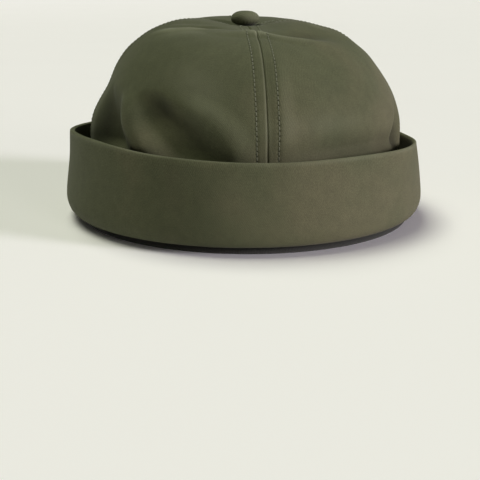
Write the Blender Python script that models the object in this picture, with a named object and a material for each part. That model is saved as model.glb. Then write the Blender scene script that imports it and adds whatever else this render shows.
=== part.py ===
"""Docker cap: a brimless cap of cotton twill with four panels and a turned-up cuff.

The cap stands on its opening. The origin is on the floor below the button, +Z is up, and the
front seam faces -Y. Azimuths are in degrees about Z from the front seam, positive towards +X.
All sizes are in metres.
"""

from collections import namedtuple
import math

import bmesh
import bpy
import numpy as np

# Plan: every ring is an ellipse, longer from front to back by the same amount
CROWN_HALF_WIDTH = 0.0920
EXTRA_HALF_LENGTH = 0.0050

# Crown section: an upright wall that bends in over the shoulder and closes at the top
CROWN_TOP = 0.1188
SHOULDER_HEIGHT = 0.0410      # where the wall starts to bend in
DOME_POWER = 2.35             # 2 is an ellipse, more is a fuller shoulder
HEM_HEIGHT = 0.0048
HEM_FLARE = 0.0025            # how far the hem stands out past the wall
ROUND_BELOW = 0.0370          # the sweatband holds the wall round up to here
FREE_ABOVE = 0.0520           # from here up the wall takes its dents in full
CLOTH = 0.0016
SEAM_GAP = 0.00036            # between two panels
PANEL_COUNT = 4               # seams at the front, the back and both sides
APEX_HOLE_RADIUS = 0.0030

# Covered button
BUTTON_RADIUS = 0.0084
BUTTON_HEIGHT = 0.0084
BUTTON_WAIST = 0.45           # height of its widest ring, as a share of its height
BUTTON_BACK = 0.68            # radius of its flat back, as a share of its radius
BUTTON_TURNS = (-34.0, -12.0, 10.0, 30.0, 48.0, 66.0)  # its rings, in degrees from the waist
SHANK_RADIUS = 0.0022
SHANK_LENGTH = 0.0050
SEAT_GAP = 0.0003             # between a piece and what it lies on

# Turned-up cuff: a short leg beside the crown, a rolled foot and a tall outer wall
CUFF_CLOTH = 0.0026           # two layers and the turned edge
CUFF_SHIFT = -0.0010          # the cuff sits a little to the left of the crown
CUFF_SHIFT_FROM = 0.0050      # the leg stays centred; the shift grows outwards from here
CUFF_SHIFT_OVER = 0.0060
LEG_HEIGHT = 0.0140

# Sweatband: lies against the crown wall and turns out under the cuff
BAND_CLOTH = 0.0012
BAND_GAP = 0.0005             # between the band and the crown wall
BAND_HEIGHT = 0.0280
LIP_HALF_WIDTH = 0.0980
LIP_FLAT = 0.0016             # width of the edge that rests on the floor

# Mesh steps
PANEL_COLUMNS = 16
PANEL_ROWS = ((0.24, 5), (0.40, 5), (0.56, 3), (0.80, 7), (1.00, 2))  # rows down to each share
RING_STEPS = 60
BUTTON_STEPS = 24
PROFILE_SAMPLES = 400
TANGENT_STEP = 0.0004
SHARP_EDGE = math.radians(50.0)
DENT_REACH = 0.05             # no dent acts on the wall this far behind its own
POLE_SHARE = 0.01             # normals at the top are read this far down
FOLD_STEPS = 8                # points of a fold's line for each row of its table
FOLD_BLEND = 0.003            # a fold's left reach turns into its right reach over this

# Dents and fullness of the crown. Each is a smooth hollow (depth above 0) or bulge (below 0)
# round a point of the wall: its azimuth and its place on the way from the top (0) to the hem
# (1). Across and along are its half-sizes round the crown and down it, turned by lean degrees.
Dent = namedtuple("Dent", "azimuth down across along lean depth")
DENTS = {
    "sunk_top": Dent(0, 0.00, 0.027, 0.025, 0, 0.0082),
    "button_pull": Dent(0, 0.00, 0.013, 0.013, 0, 0.0016),
    "sunk_front": Dent(10, 0.23, 0.034, 0.021, 0, 0.0062),
    "front_dip": Dent(0, 0.135, 0.026, 0.014, 0, 0.0026),
    "behind_crest": Dent(-4, 0.225, 0.020, 0.008, 0, 0.0008),
    "hollow_behind_ridge": Dent(32, 0.28, 0.018, 0.007, -10, 0.0046),
    "hollow_left_of_button": Dent(-50, 0.235, 0.018, 0.006, 12, 0.0012),
    "left_top": Dent(-90, 0.335, 0.040, 0.012, 0, -0.0003),
    "left_shoulder": Dent(-90, 0.45, 0.040, 0.012, 0, 0.0009),
    "left_flank": Dent(-90, 0.57, 0.040, 0.015, 0, 0.0038),
    "left_side": Dent(-90, 0.72, 0.040, 0.014, 0, -0.0004),
    "right_top": Dent(90, 0.26, 0.040, 0.015, 0, 0.0022),
    "right_shoulder": Dent(86, 0.40, 0.040, 0.010, 0, 0.0012),
    "right_flank": Dent(90, 0.50, 0.040, 0.014, 0, 0.0019),
    "right_side": Dent(90, 0.68, 0.040, 0.014, 0, -0.0012),
    "right_hollow": Dent(27, 0.748, 0.032, 0.010, 0, 0.0048),
    "right_hollow_side": Dent(52, 0.748, 0.014, 0.009, 0, 0.0026),
    "right_fullness": Dent(34, 0.662, 0.034, 0.008, 0, -0.0013),
    "right_edge_dent": Dent(62, 0.70, 0.006, 0.012, 0, 0.0030),
}

# Folds of the crown. Each is a hollow (depths above 0) or a ridge (below 0) along a bent line,
# drawn through its rows. Left and right are how far it reaches on either side of the line, as
# seen by someone who follows it with the outer face towards them.
FoldRow = namedtuple("FoldRow", "azimuth down left right depth")
FOLDS = {
    "left_crest": (
        FoldRow(-66.0, 0.335, 0.006, 0.012, -0.0002),
        FoldRow(-58.0, 0.315, 0.006, 0.013, -0.0006),
        FoldRow(-48.0, 0.290, 0.006, 0.013, -0.0012),
        FoldRow(-40.0, 0.270, 0.005, 0.012, -0.0012),
        FoldRow(-32.0, 0.260, 0.005, 0.010, -0.0004),
    ),
    "left_crease": (
        FoldRow(-70.0, 0.318, 0.008, 0.005, 0.0004),
        FoldRow(-60.0, 0.293, 0.010, 0.005, 0.0014),
        FoldRow(-50.0, 0.269, 0.010, 0.005, 0.0022),
        FoldRow(-40.0, 0.246, 0.010, 0.005, 0.0024),
        FoldRow(-32.0, 0.237, 0.008, 0.005, 0.0012),
        FoldRow(-26.0, 0.236, 0.007, 0.005, 0.0003),
    ),
    "front_crest": (
        FoldRow(-25.0, 0.300, 0.006, 0.012, -0.0006),
        FoldRow(-14.0, 0.298, 0.007, 0.014, -0.0012),
        FoldRow(-3.0, 0.290, 0.008, 0.015, -0.0026),
        FoldRow(6.0, 0.296, 0.008, 0.014, -0.0028),
        FoldRow(14.0, 0.312, 0.008, 0.013, -0.0024),
        FoldRow(24.0, 0.334, 0.007, 0.012, -0.0020),
        FoldRow(33.0, 0.352, 0.006, 0.010, -0.0008),
        FoldRow(40.0, 0.370, 0.006, 0.009, -0.0002),
    ),
    "front_hollow": (
        FoldRow(-42.5, 0.588, 0.007, 0.006, 0.0012),
        FoldRow(-39.0, 0.612, 0.010, 0.008, 0.0050),
        FoldRow(-35.5, 0.647, 0.014, 0.010, 0.0080),
        FoldRow(-30.5, 0.685, 0.017, 0.015, 0.0092),
        FoldRow(-26.0, 0.730, 0.020, 0.019, 0.0092),
        FoldRow(-23.5, 0.785, 0.021, 0.023, 0.0078),
    ),
    "front_brow": (
        FoldRow(-37.0, 0.562, 0.012, 0.008, -0.0006),
        FoldRow(-29.5, 0.590, 0.012, 0.008, -0.0012),
        FoldRow(-22.5, 0.617, 0.012, 0.009, -0.0017),
        FoldRow(-16.0, 0.645, 0.012, 0.009, -0.0020),
        FoldRow(-11.0, 0.685, 0.011, 0.009, -0.0018),
        FoldRow(-8.5, 0.740, 0.010, 0.009, -0.0010),
    ),
    "pinched_ridge": (
        FoldRow(-55.0, 0.610, 0.007, 0.010, -0.0006),
        FoldRow(-51.0, 0.650, 0.009, 0.014, -0.0042),
        FoldRow(-46.0, 0.695, 0.010, 0.018, -0.0064),
        FoldRow(-42.0, 0.740, 0.011, 0.020, -0.0068),
        FoldRow(-39.5, 0.790, 0.011, 0.019, -0.0048),
    ),
    "side_hollow": (
        FoldRow(-65.5, 0.620, 0.014, 0.010, 0.0010),
        FoldRow(-64.0, 0.655, 0.022, 0.018, 0.0058),
        FoldRow(-62.0, 0.700, 0.027, 0.022, 0.0082),
        FoldRow(-60.0, 0.750, 0.028, 0.023, 0.0084),
        FoldRow(-59.0, 0.790, 0.028, 0.023, 0.0076),
    ),
    "long_ridge": (
        FoldRow(7.5, 0.430, 0.007, 0.007, -0.0003),
        FoldRow(7.2, 0.510, 0.008, 0.008, -0.0009),
        FoldRow(6.8, 0.600, 0.008, 0.008, -0.0010),
        FoldRow(6.8, 0.680, 0.008, 0.008, -0.0006),
    ),
}

# Rim of the cuff, at equal steps round the cap
RimPoint = namedtuple("RimPoint", "azimuth height")
CUFF_RIM = [
    RimPoint(-180, 0.0480), RimPoint(-150, 0.0482), RimPoint(-120, 0.0490),
    RimPoint(-90, 0.0512), RimPoint(-60, 0.0541), RimPoint(-30, 0.0492),
    RimPoint(0, 0.0471), RimPoint(30, 0.0476), RimPoint(60, 0.0462),
    RimPoint(90, 0.0442), RimPoint(120, 0.0458), RimPoint(150, 0.0473),
]

# Sections of the turned pieces, as points that stand out from the crown's half width
SectionPoint = namedtuple("SectionPoint", "out height")

# Outer face of the cuff, from under its foot up to the rim
CUFF_FACE = [
    SectionPoint(0.0085, 0.0042), SectionPoint(0.0115, 0.0052), SectionPoint(0.0136, 0.0080),
    SectionPoint(0.0147, 0.0135), SectionPoint(0.0137, 0.0240), SectionPoint(0.0123, 0.0360),
]
CUFF_RIM_OUT = 0.0110
CUFF_RIM_ROUND = 0.0020       # height of the rounded rim
CUFF_UPRIGHT_ROWS = 3         # rows of the face that the slot's side repeats

# Bottom of the slot between the cuff's wall and its leg
CUFF_SLOT = [
    SectionPoint(0.0108, 0.0092), SectionPoint(0.0085, 0.0070), SectionPoint(0.0065, 0.0085),
]

# Sweatband's turned-out lip: its upper face from the edge inwards, then its lower face from
# the band back to the floor. Distances here stand out from the band's outer face.
LIP_UPPER = [
    SectionPoint(0.0044, 0.0018), SectionPoint(0.0024, 0.0028), SectionPoint(0.0006, 0.0036),
    SectionPoint(0.0000, 0.0048),
]
LIP_LOWER = [
    SectionPoint(-0.0012, 0.0048), SectionPoint(-0.0007, 0.0030), SectionPoint(0.0014, 0.0016),
    SectionPoint(0.0032, 0.0006),
]
LIP_EDGE = 0.0006             # height of the lip's upright edge
BAND_ROWS = (0.0130, 0.0210)  # heights of the band's rows between the lip and its top
BAND_TOP_ROUND = 0.0004

Finish = namedtuple("Finish", "name colour roughness")
TWILL = Finish("olive_twill", (0.072, 0.078, 0.045, 1.0), 0.85)
BLACK_TAPE = Finish("black_tape", (0.012, 0.012, 0.011, 1.0), 0.80)

PANEL_NAMES = (
    "crown_panel_front_right", "crown_panel_back_right",
    "crown_panel_back_left", "crown_panel_front_left",
)


def clear_scene():
    """Remove every object, so that the file can be run again."""
    for old in list(bpy.data.objects):
        bpy.data.objects.remove(old, do_unlink=True)


def material(finish):
    """Make the Principled material of one finish."""
    made = bpy.data.materials.new(finish.name)
    made.use_nodes = True
    shader = made.node_tree.nodes["Principled BSDF"]
    shader.inputs["Base Color"].default_value = finish.colour
    shader.inputs["Roughness"].default_value = finish.roughness
    shader.inputs["Metallic"].default_value = 0.0
    made.diffuse_color = finish.colour
    return made


def add_object(name, mesh_data, finish):
    """Put a finished bmesh into the scene as one named object."""
    bmesh.ops.recalc_face_normals(mesh_data, faces=mesh_data.faces)
    mesh = bpy.data.meshes.new(name)
    mesh_data.to_mesh(mesh)
    mesh_data.free()
    mesh.materials.append(material(finish))
    mesh.shade_smooth()
    mesh.set_sharp_from_angle(angle=SHARP_EDGE)
    made = bpy.data.objects.new(name, mesh)
    bpy.context.scene.collection.objects.link(made)
    return made


def ease(share):
    """A smooth step from 0 to 1."""
    share = np.clip(share, 0.0, 1.0)
    return share * share * (3.0 - 2.0 * share)


def curve_between(before, here, there, after, t):
    """A smooth curve's value between here (t = 0) and there (t = 1)."""
    slope = 0.5 * (there - before)
    end_slope = 0.5 * (after - here)
    bend = (t ** 3 - 2.0 * t ** 2 + t) * slope + (t ** 3 - t ** 2) * end_slope
    return here + ease(t) * (there - here) + bend


def curve_through(rows, steps):
    """A smooth curve through the rows of a table, with so many steps between two rows."""
    rows = np.array(rows)
    around = np.concatenate([rows[:1], rows, rows[-1:]])
    curve = [
        curve_between(*around[i:i + 4], t)
        for i in range(len(rows) - 1)
        for t in np.arange(steps) / steps
    ]
    return np.array(curve + [rows[-1]])


def on_ring(half_width, azimuth, height, shift=0.0):
    """Points of an elliptical ring, given its half width, at azimuths in radians."""
    x = shift + half_width * np.sin(azimuth)
    y = -(half_width + EXTRA_HALF_LENGTH) * np.cos(azimuth)
    return np.stack(np.broadcast_arrays(x, y, height), axis=-1)


def dome_section():
    """The crown's section from top to hem, and its whole length.

    Each point has its reach, as a share of the half width, its height, and its share of the
    length from the top.
    """
    bend = np.linspace(0.0, math.pi / 2.0, PROFILE_SAMPLES)
    reach = np.sin(bend) ** (2.0 / DOME_POWER)
    height = SHOULDER_HEIGHT + (CROWN_TOP - SHOULDER_HEIGHT) * np.cos(bend) ** (2.0 / DOME_POWER)
    wall = np.linspace(0.0, 1.0, PROFILE_SAMPLES // 4)[1:]
    flare = HEM_FLARE / CROWN_HALF_WIDTH
    reach = np.concatenate([reach, 1.0 + flare * wall ** 2])
    height = np.concatenate([height, SHOULDER_HEIGHT + (HEM_HEIGHT - SHOULDER_HEIGHT) * wall])
    steps = np.hypot(np.diff(reach * CROWN_HALF_WIDTH), np.diff(height))
    length = np.concatenate([[0.0], np.cumsum(steps)])
    return reach, height, length / length[-1], length[-1]


REACH, HEIGHT, SHARE, SECTION_LENGTH = dome_section()


def share_at(radius):
    """How far down the section the crown reaches a radius near the top."""
    dome = slice(0, PROFILE_SAMPLES)
    return float(np.interp(radius / CROWN_HALF_WIDTH, REACH[dome], SHARE[dome]))


def plain_crown(azimuth, down):
    """Points of the crown without its dents."""
    reach = np.interp(down, SHARE, REACH)
    height = np.interp(down, SHARE, HEIGHT)
    x = CROWN_HALF_WIDTH * reach * np.sin(azimuth)
    y = -(CROWN_HALF_WIDTH + EXTRA_HALF_LENGTH) * reach * np.cos(azimuth)
    return np.stack(np.broadcast_arrays(x, y, height), axis=-1)


def normals_of(surface, azimuth, down):
    """Outward unit normals of a surface(azimuth, down), by small steps along it."""
    down = np.maximum(down, POLE_SHARE)
    radius = np.interp(down, SHARE, REACH) * CROWN_HALF_WIDTH
    turn = TANGENT_STEP / radius
    drop = TANGENT_STEP / SECTION_LENGTH
    low = np.clip(down - drop, 0.0, 1.0)
    high = np.clip(down + drop, 0.0, 1.0)
    across = surface(azimuth + turn, down) - surface(azimuth - turn, down)
    along = surface(azimuth, high) - surface(azimuth, low)
    normal = np.cross(along, across)
    return normal / np.linalg.norm(normal, axis=-1, keepdims=True)


def dent_frame(dent):
    """A dent's centre, its two axes in the wall and the wall's normal there."""
    azimuth = np.array(math.radians(dent.azimuth))
    down = np.array(dent.down)
    centre = plain_crown(azimuth, down)
    outward = normals_of(plain_crown, azimuth, down)
    sideways = np.array([math.cos(azimuth), math.sin(azimuth), 0.0])
    sideways = sideways - outward * (sideways @ outward)
    sideways = sideways / np.linalg.norm(sideways)
    upward = np.cross(outward, sideways)
    lean = math.radians(dent.lean)
    across = sideways * math.cos(lean) + upward * math.sin(lean)
    along = upward * math.cos(lean) - sideways * math.sin(lean)
    return centre, across, along, outward


def dent_depth(dent, points):
    """How far one dent sinks each point."""
    centre, across, along, outward = dent_frame(dent)
    offset = points - centre
    spread = ((offset @ across) / dent.across) ** 2
    spread = spread + ((offset @ along) / dent.along) ** 2
    spread = spread + ((offset @ outward) / DENT_REACH) ** 2
    return dent.depth * np.exp(-spread)


def fold_depth(fold, points):
    """How far one fold sinks each point."""
    line = curve_through(fold, FOLD_STEPS)
    azimuth = np.radians(line[:, 0])
    path = plain_crown(azimuth, line[:, 1])
    rightward = np.cross(normals_of(plain_crown, azimuth, line[:, 1]), np.gradient(path, axis=0))
    rightward = rightward / np.linalg.norm(rightward, axis=1, keepdims=True)
    sunk = np.zeros(points.shape[:-1])
    for place, right, row in zip(path, rightward, line):
        left_reach, right_reach, depth = row[2:]
        offset = points - place
        side = ease(0.5 + 0.5 * (offset @ right) / FOLD_BLEND)
        part = np.linalg.norm(offset, axis=-1) / (left_reach + (right_reach - left_reach) * side)
        sunk = np.maximum(sunk, abs(depth) * (1.0 - ease(part)))
    return math.copysign(1.0, fold[0].depth) * sunk


def sink(points):
    """How far the dents and folds push each point of the plain crown inwards."""
    free = ease((points[..., 2] - ROUND_BELOW) / (FREE_ABOVE - ROUND_BELOW))
    total = np.zeros(points.shape[:-1])
    for dent in DENTS.values():
        total = total + dent_depth(dent, points)
    for fold in FOLDS.values():
        total = total + fold_depth(fold, points)
    return total * free


def crown(azimuth, down):
    """Points of the crown's outer face, dents included."""
    points = plain_crown(azimuth, down)
    outward = normals_of(plain_crown, azimuth, down)
    return points - outward * sink(points)[..., None]


def crown_pair(azimuth, down):
    """The crown's outer face and the inner face, one cloth thickness below it."""
    outer = crown(azimuth, down)
    inner = outer - normals_of(crown, azimuth, down) * CLOTH
    return outer, inner


def shell(outer, inner):
    """A closed wall between two grids of points of the same size."""
    made = bmesh.new()
    rows, columns = outer.shape[:2]
    sheets = []
    for grid in (outer, inner):
        sheets.append([[made.verts.new(point) for point in row] for row in grid])
    for sheet in sheets:
        for i in range(rows - 1):
            for j in range(columns - 1):
                upper, lower = sheet[i], sheet[i + 1]
                made.faces.new((upper[j], upper[j + 1], lower[j + 1], lower[j]))
    border = [(0, j) for j in range(columns)]
    border += [(i, columns - 1) for i in range(1, rows)]
    border += [(rows - 1, j) for j in range(columns - 2, -1, -1)]
    border += [(i, 0) for i in range(rows - 2, 0, -1)]
    for (i, j), (k, m) in zip(border, border[1:] + border[:1]):
        made.faces.new((sheets[0][i][j], sheets[0][k][m], sheets[1][k][m], sheets[1][i][j]))
    return made


def ring_turns():
    """Azimuths of the steps of a turned piece, in radians."""
    return np.arange(RING_STEPS) * 2.0 * math.pi / RING_STEPS


def ring(sections):
    """A closed ring through equal sections, each a closed loop of points."""
    made = bmesh.new()
    loops = [[made.verts.new(point) for point in section] for section in sections]
    for i, loop in enumerate(loops):
        following = loops[(i + 1) % len(loops)]
        for j in range(len(loop)):
            k = (j + 1) % len(loop)
            made.faces.new((loop[j], loop[k], following[k], following[j]))
    return made


def panel_rows():
    """Shares of the way down where a panel has its rows, closer together at the folds."""
    rows = [share_at(APEX_HOLE_RADIUS)]
    for end, count in PANEL_ROWS:
        rows.extend(np.linspace(rows[-1], end, count + 1)[1:])
    return np.array(rows)


def crown_panel(index):
    """One of the four gores, a wall of one cloth thickness between two seams."""
    down = panel_rows()[:, None]
    width = 2.0 * math.pi / PANEL_COUNT
    radius = np.interp(down, SHARE, REACH) * CROWN_HALF_WIDTH
    margin = 0.5 * SEAM_GAP / radius
    share = np.linspace(0.0, 1.0, PANEL_COLUMNS + 1)[None, :]
    azimuth = index * width + margin + (width - 2.0 * margin) * share
    down = np.broadcast_to(down, azimuth.shape)
    outer, inner = crown_pair(azimuth, down)
    return add_object(PANEL_NAMES[index], shell(outer, inner), TWILL)


def button_seat():
    """Height of the crown under the button's flat back, where it is highest."""
    azimuth = np.linspace(0.0, 2.0 * math.pi, RING_STEPS)
    highest = 0.0
    for radius in np.linspace(APEX_HOLE_RADIUS, BUTTON_RADIUS * BUTTON_BACK, 4):
        points = crown(azimuth, np.full_like(azimuth, share_at(radius)))
        highest = max(highest, points[:, 2].max())
    return highest


def crown_button():
    """The cloth-covered button: a low dome with a flat back and a hidden shank."""
    seat = button_seat() + SEAT_GAP
    foot = seat - SHANK_LENGTH
    waist = seat + BUTTON_HEIGHT * BUTTON_WAIST
    profile = [(SHANK_RADIUS, foot), (SHANK_RADIUS, seat), (BUTTON_RADIUS * BUTTON_BACK, seat)]
    for turn in np.radians(BUTTON_TURNS):
        rise = BUTTON_HEIGHT * (1.0 - BUTTON_WAIST if turn > 0.0 else BUTTON_WAIST)
        profile.append((BUTTON_RADIUS * math.cos(turn) ** 0.8, waist + rise * math.sin(turn)))
    made = bmesh.new()
    loops = []
    for radius, height in profile:
        turns = np.arange(BUTTON_STEPS) * 2.0 * math.pi / BUTTON_STEPS
        loops.append([
            made.verts.new((radius * math.sin(turn), -radius * math.cos(turn), height))
            for turn in turns
        ])
    for lower, upper in zip(loops, loops[1:]):
        for j in range(BUTTON_STEPS):
            k = (j + 1) % BUTTON_STEPS
            made.faces.new((lower[j], lower[k], upper[k], upper[j]))
    poles = (made.verts.new((0.0, 0.0, foot)), made.verts.new((0.0, 0.0, seat + BUTTON_HEIGHT)))
    for loop, pole in zip((loops[0], loops[-1]), poles):
        for j in range(BUTTON_STEPS):
            made.faces.new((loop[j], loop[(j + 1) % BUTTON_STEPS], pole))
    return add_object("crown_button", made, TWILL)


def rim_height(azimuth):
    """Height of the cuff's rim, smooth through the rows of the table."""
    heights = [point.height for point in CUFF_RIM]
    place = (azimuth + math.pi) / (2.0 * math.pi) * len(heights)
    first = int(math.floor(place))
    around = (heights[(first + k) % len(heights)] for k in (-1, 0, 1, 2))
    return float(curve_between(*around, place - first))


def cuff_section(azimuth):
    """Closed section of the cuff at one azimuth, from under the foot round to the leg."""
    rim = rim_height(azimuth)
    rim_back = CUFF_RIM_OUT - CUFF_CLOTH
    leg = HEM_FLARE + SEAT_GAP
    section = list(CUFF_FACE)
    section.append(SectionPoint(CUFF_RIM_OUT, rim - CUFF_RIM_ROUND))
    for share, drop in ((0.85, 0.2), (0.5, 0.0), (0.15, 0.2)):
        section.append(SectionPoint(rim_back + share * CUFF_CLOTH, rim - drop * CUFF_RIM_ROUND))
    section.append(SectionPoint(rim_back, rim - CUFF_RIM_ROUND))
    for row in reversed(CUFF_FACE[-CUFF_UPRIGHT_ROWS:]):
        section.append(SectionPoint(row.out - CUFF_CLOTH, row.height))
    section += CUFF_SLOT
    section += [
        SectionPoint(leg + CUFF_CLOTH, 0.8 * LEG_HEIGHT), SectionPoint(leg + CUFF_CLOTH, LEG_HEIGHT),
        SectionPoint(leg + 0.2 * CUFF_CLOTH, 1.06 * LEG_HEIGHT), SectionPoint(leg, LEG_HEIGHT),
        SectionPoint(leg, 0.54 * LEG_HEIGHT), SectionPoint(leg + 0.45 * CUFF_CLOTH, 0.36 * LEG_HEIGHT),
    ]
    return section


def turned_up_cuff():
    """The cuff: its leg, rolled foot and outer wall in one closed ring."""
    sections = []
    for turn in ring_turns():
        points = []
        for out, height in cuff_section(turn):
            shift = CUFF_SHIFT * min(1.0, max(0.0, (out - CUFF_SHIFT_FROM) / CUFF_SHIFT_OVER))
            points.append(on_ring(CROWN_HALF_WIDTH + out, turn, height, shift))
        sections.append(points)
    return add_object("turned_up_cuff", ring(sections), TWILL)


def band_face(height):
    """Where the sweatband's outer face lies at a height, from the crown's half width."""
    reach = np.interp(-height, -HEIGHT[PROFILE_SAMPLES // 2:], REACH[PROFILE_SAMPLES // 2:])
    return float((reach - 1.0) * CROWN_HALF_WIDTH - CLOTH - BAND_GAP)


def sweatband():
    """The band inside the opening, with its lower edge turned out as a flat lip."""
    foot = HEM_FLARE - CLOTH - BAND_GAP
    lip = LIP_HALF_WIDTH - CROWN_HALF_WIDTH
    shoulder = BAND_HEIGHT - BAND_TOP_ROUND
    top = band_face(BAND_HEIGHT)
    upright = [SectionPoint(band_face(height), height) for height in BAND_ROWS]
    section = [SectionPoint(lip, 0.0), SectionPoint(lip, LIP_EDGE)]
    section += [SectionPoint(foot + row.out, row.height) for row in LIP_UPPER]
    section += upright
    section += [
        SectionPoint(top, shoulder), SectionPoint(top - 0.5 * BAND_CLOTH, BAND_HEIGHT),
        SectionPoint(top - BAND_CLOTH, shoulder),
    ]
    section += [SectionPoint(row.out - BAND_CLOTH, row.height) for row in reversed(upright)]
    section += [SectionPoint(foot + row.out, row.height) for row in LIP_LOWER]
    section.append(SectionPoint(lip - LIP_FLAT, 0.0))
    sections = []
    for turn in ring_turns():
        sections.append([on_ring(CROWN_HALF_WIDTH + out, turn, height) for out, height in section])
    return add_object("sweatband", ring(sections), BLACK_TAPE)


def main():
    """Build the cap piece by piece."""
    clear_scene()
    for index in range(PANEL_COUNT):
        crown_panel(index)
    crown_button()
    turned_up_cuff()
    sweatband()


main()
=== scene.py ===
"""Looks of a brimless docker cap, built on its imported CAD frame.

The cap stands on its opening. Sizes are in metres, +Z is up and the front seam faces -Y. An
azimuth is an angle about Z from the front seam, positive towards +X. "Down" is a share of the
way from the top of the crown (0) to its hem (1), measured along the crown's section.
"""

from __future__ import annotations

import logging
import math
from dataclasses import dataclass, field
from enum import Enum
from typing import Any, Callable, Mapping, Sequence

import bmesh
import bpy
import numpy as np
from mathutils import Matrix, Vector

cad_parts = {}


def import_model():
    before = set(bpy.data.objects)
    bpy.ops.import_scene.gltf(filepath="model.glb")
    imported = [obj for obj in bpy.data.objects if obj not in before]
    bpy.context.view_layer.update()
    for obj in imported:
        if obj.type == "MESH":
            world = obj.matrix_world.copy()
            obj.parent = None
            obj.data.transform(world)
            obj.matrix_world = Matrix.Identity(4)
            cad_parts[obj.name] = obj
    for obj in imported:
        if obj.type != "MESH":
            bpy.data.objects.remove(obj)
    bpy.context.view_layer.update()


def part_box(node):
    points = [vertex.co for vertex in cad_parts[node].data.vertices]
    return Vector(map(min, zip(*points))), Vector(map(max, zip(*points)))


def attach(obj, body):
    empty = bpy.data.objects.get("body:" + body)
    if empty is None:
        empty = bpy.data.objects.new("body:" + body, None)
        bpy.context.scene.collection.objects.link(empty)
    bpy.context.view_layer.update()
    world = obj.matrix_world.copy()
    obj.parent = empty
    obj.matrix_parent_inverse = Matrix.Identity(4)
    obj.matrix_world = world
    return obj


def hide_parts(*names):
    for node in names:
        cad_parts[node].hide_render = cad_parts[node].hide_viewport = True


LOG = logging.getLogger("docker_cap")
BODY = "root"
CLOTH_UV = "cloth"
WEAR_AND_LIGHT = "wear"
SEAM = "seam_distance"
TURN = 2.0 * math.pi
MILLIMETRE = 0.001
NEIGHBOURS = (-1, 0, 1, 2)
NEVER_SHARP = 180.0

Grid = np.ndarray
Surface = Callable[[Grid, Grid], Grid]


class Slot(Enum):
    """Material slots of the record."""

    TWILL = "olive_twill"
    TAPE = "black_band"


class Side(Enum):
    """The two seams of a crown panel."""

    LEFT = -1
    RIGHT = 1


# ---- Shader building


class Wire:
    """A shader socket that takes part in Python arithmetic on values."""

    def __init__(self, graph: Graph, socket: bpy.types.NodeSocket) -> None:
        """Wrap an output socket of a node in a graph."""
        self.graph = graph
        self.socket = socket

    def _math(self, operation: str, first: Wire | float, second: Wire | float) -> Wire:
        """Add one Math node."""
        return self.graph.node("ShaderNodeMath", {"operation": operation}, {0: first, 1: second})

    def __add__(self, other: Wire | float) -> Wire:
        """Sum."""
        return self._math("ADD", self, other)

    def __radd__(self, other: float) -> Wire:
        """Sum with a plain number first."""
        return self._math("ADD", other, self)

    def __sub__(self, other: Wire | float) -> Wire:
        """Difference."""
        return self._math("SUBTRACT", self, other)

    def __rsub__(self, other: float) -> Wire:
        """Difference with a plain number first."""
        return self._math("SUBTRACT", other, self)

    def __mul__(self, other: Wire | float) -> Wire:
        """Product."""
        return self._math("MULTIPLY", self, other)

    def sine(self) -> Wire:
        """Sine of the value, in radians."""
        return self.graph.node("ShaderNodeMath", {"operation": "SINE"}, {0: self})

    def absolute(self) -> Wire:
        """The value without its sign."""
        return self.graph.node("ShaderNodeMath", {"operation": "ABSOLUTE"}, {0: self})

    def wave(self) -> Wire:
        """A wave between 0 and 1 that repeats whenever the value grows by 1."""
        return (self * TURN).sine() * 0.5 + 0.5

    def at_least(self, low: float) -> Wire:
        """The value, 0 to 1, brought into the range from low to 1."""
        return self * (1.0 - low) + low

    def ramp(self, low: float, high: float) -> Wire:
        """A smooth rise from 0 at low to 1 at high."""
        return self.graph.node(
            "ShaderNodeMapRange",
            {"interpolation_type": "SMOOTHSTEP"},
            {"Value": self, "From Min": low, "From Max": high},
        )


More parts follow.
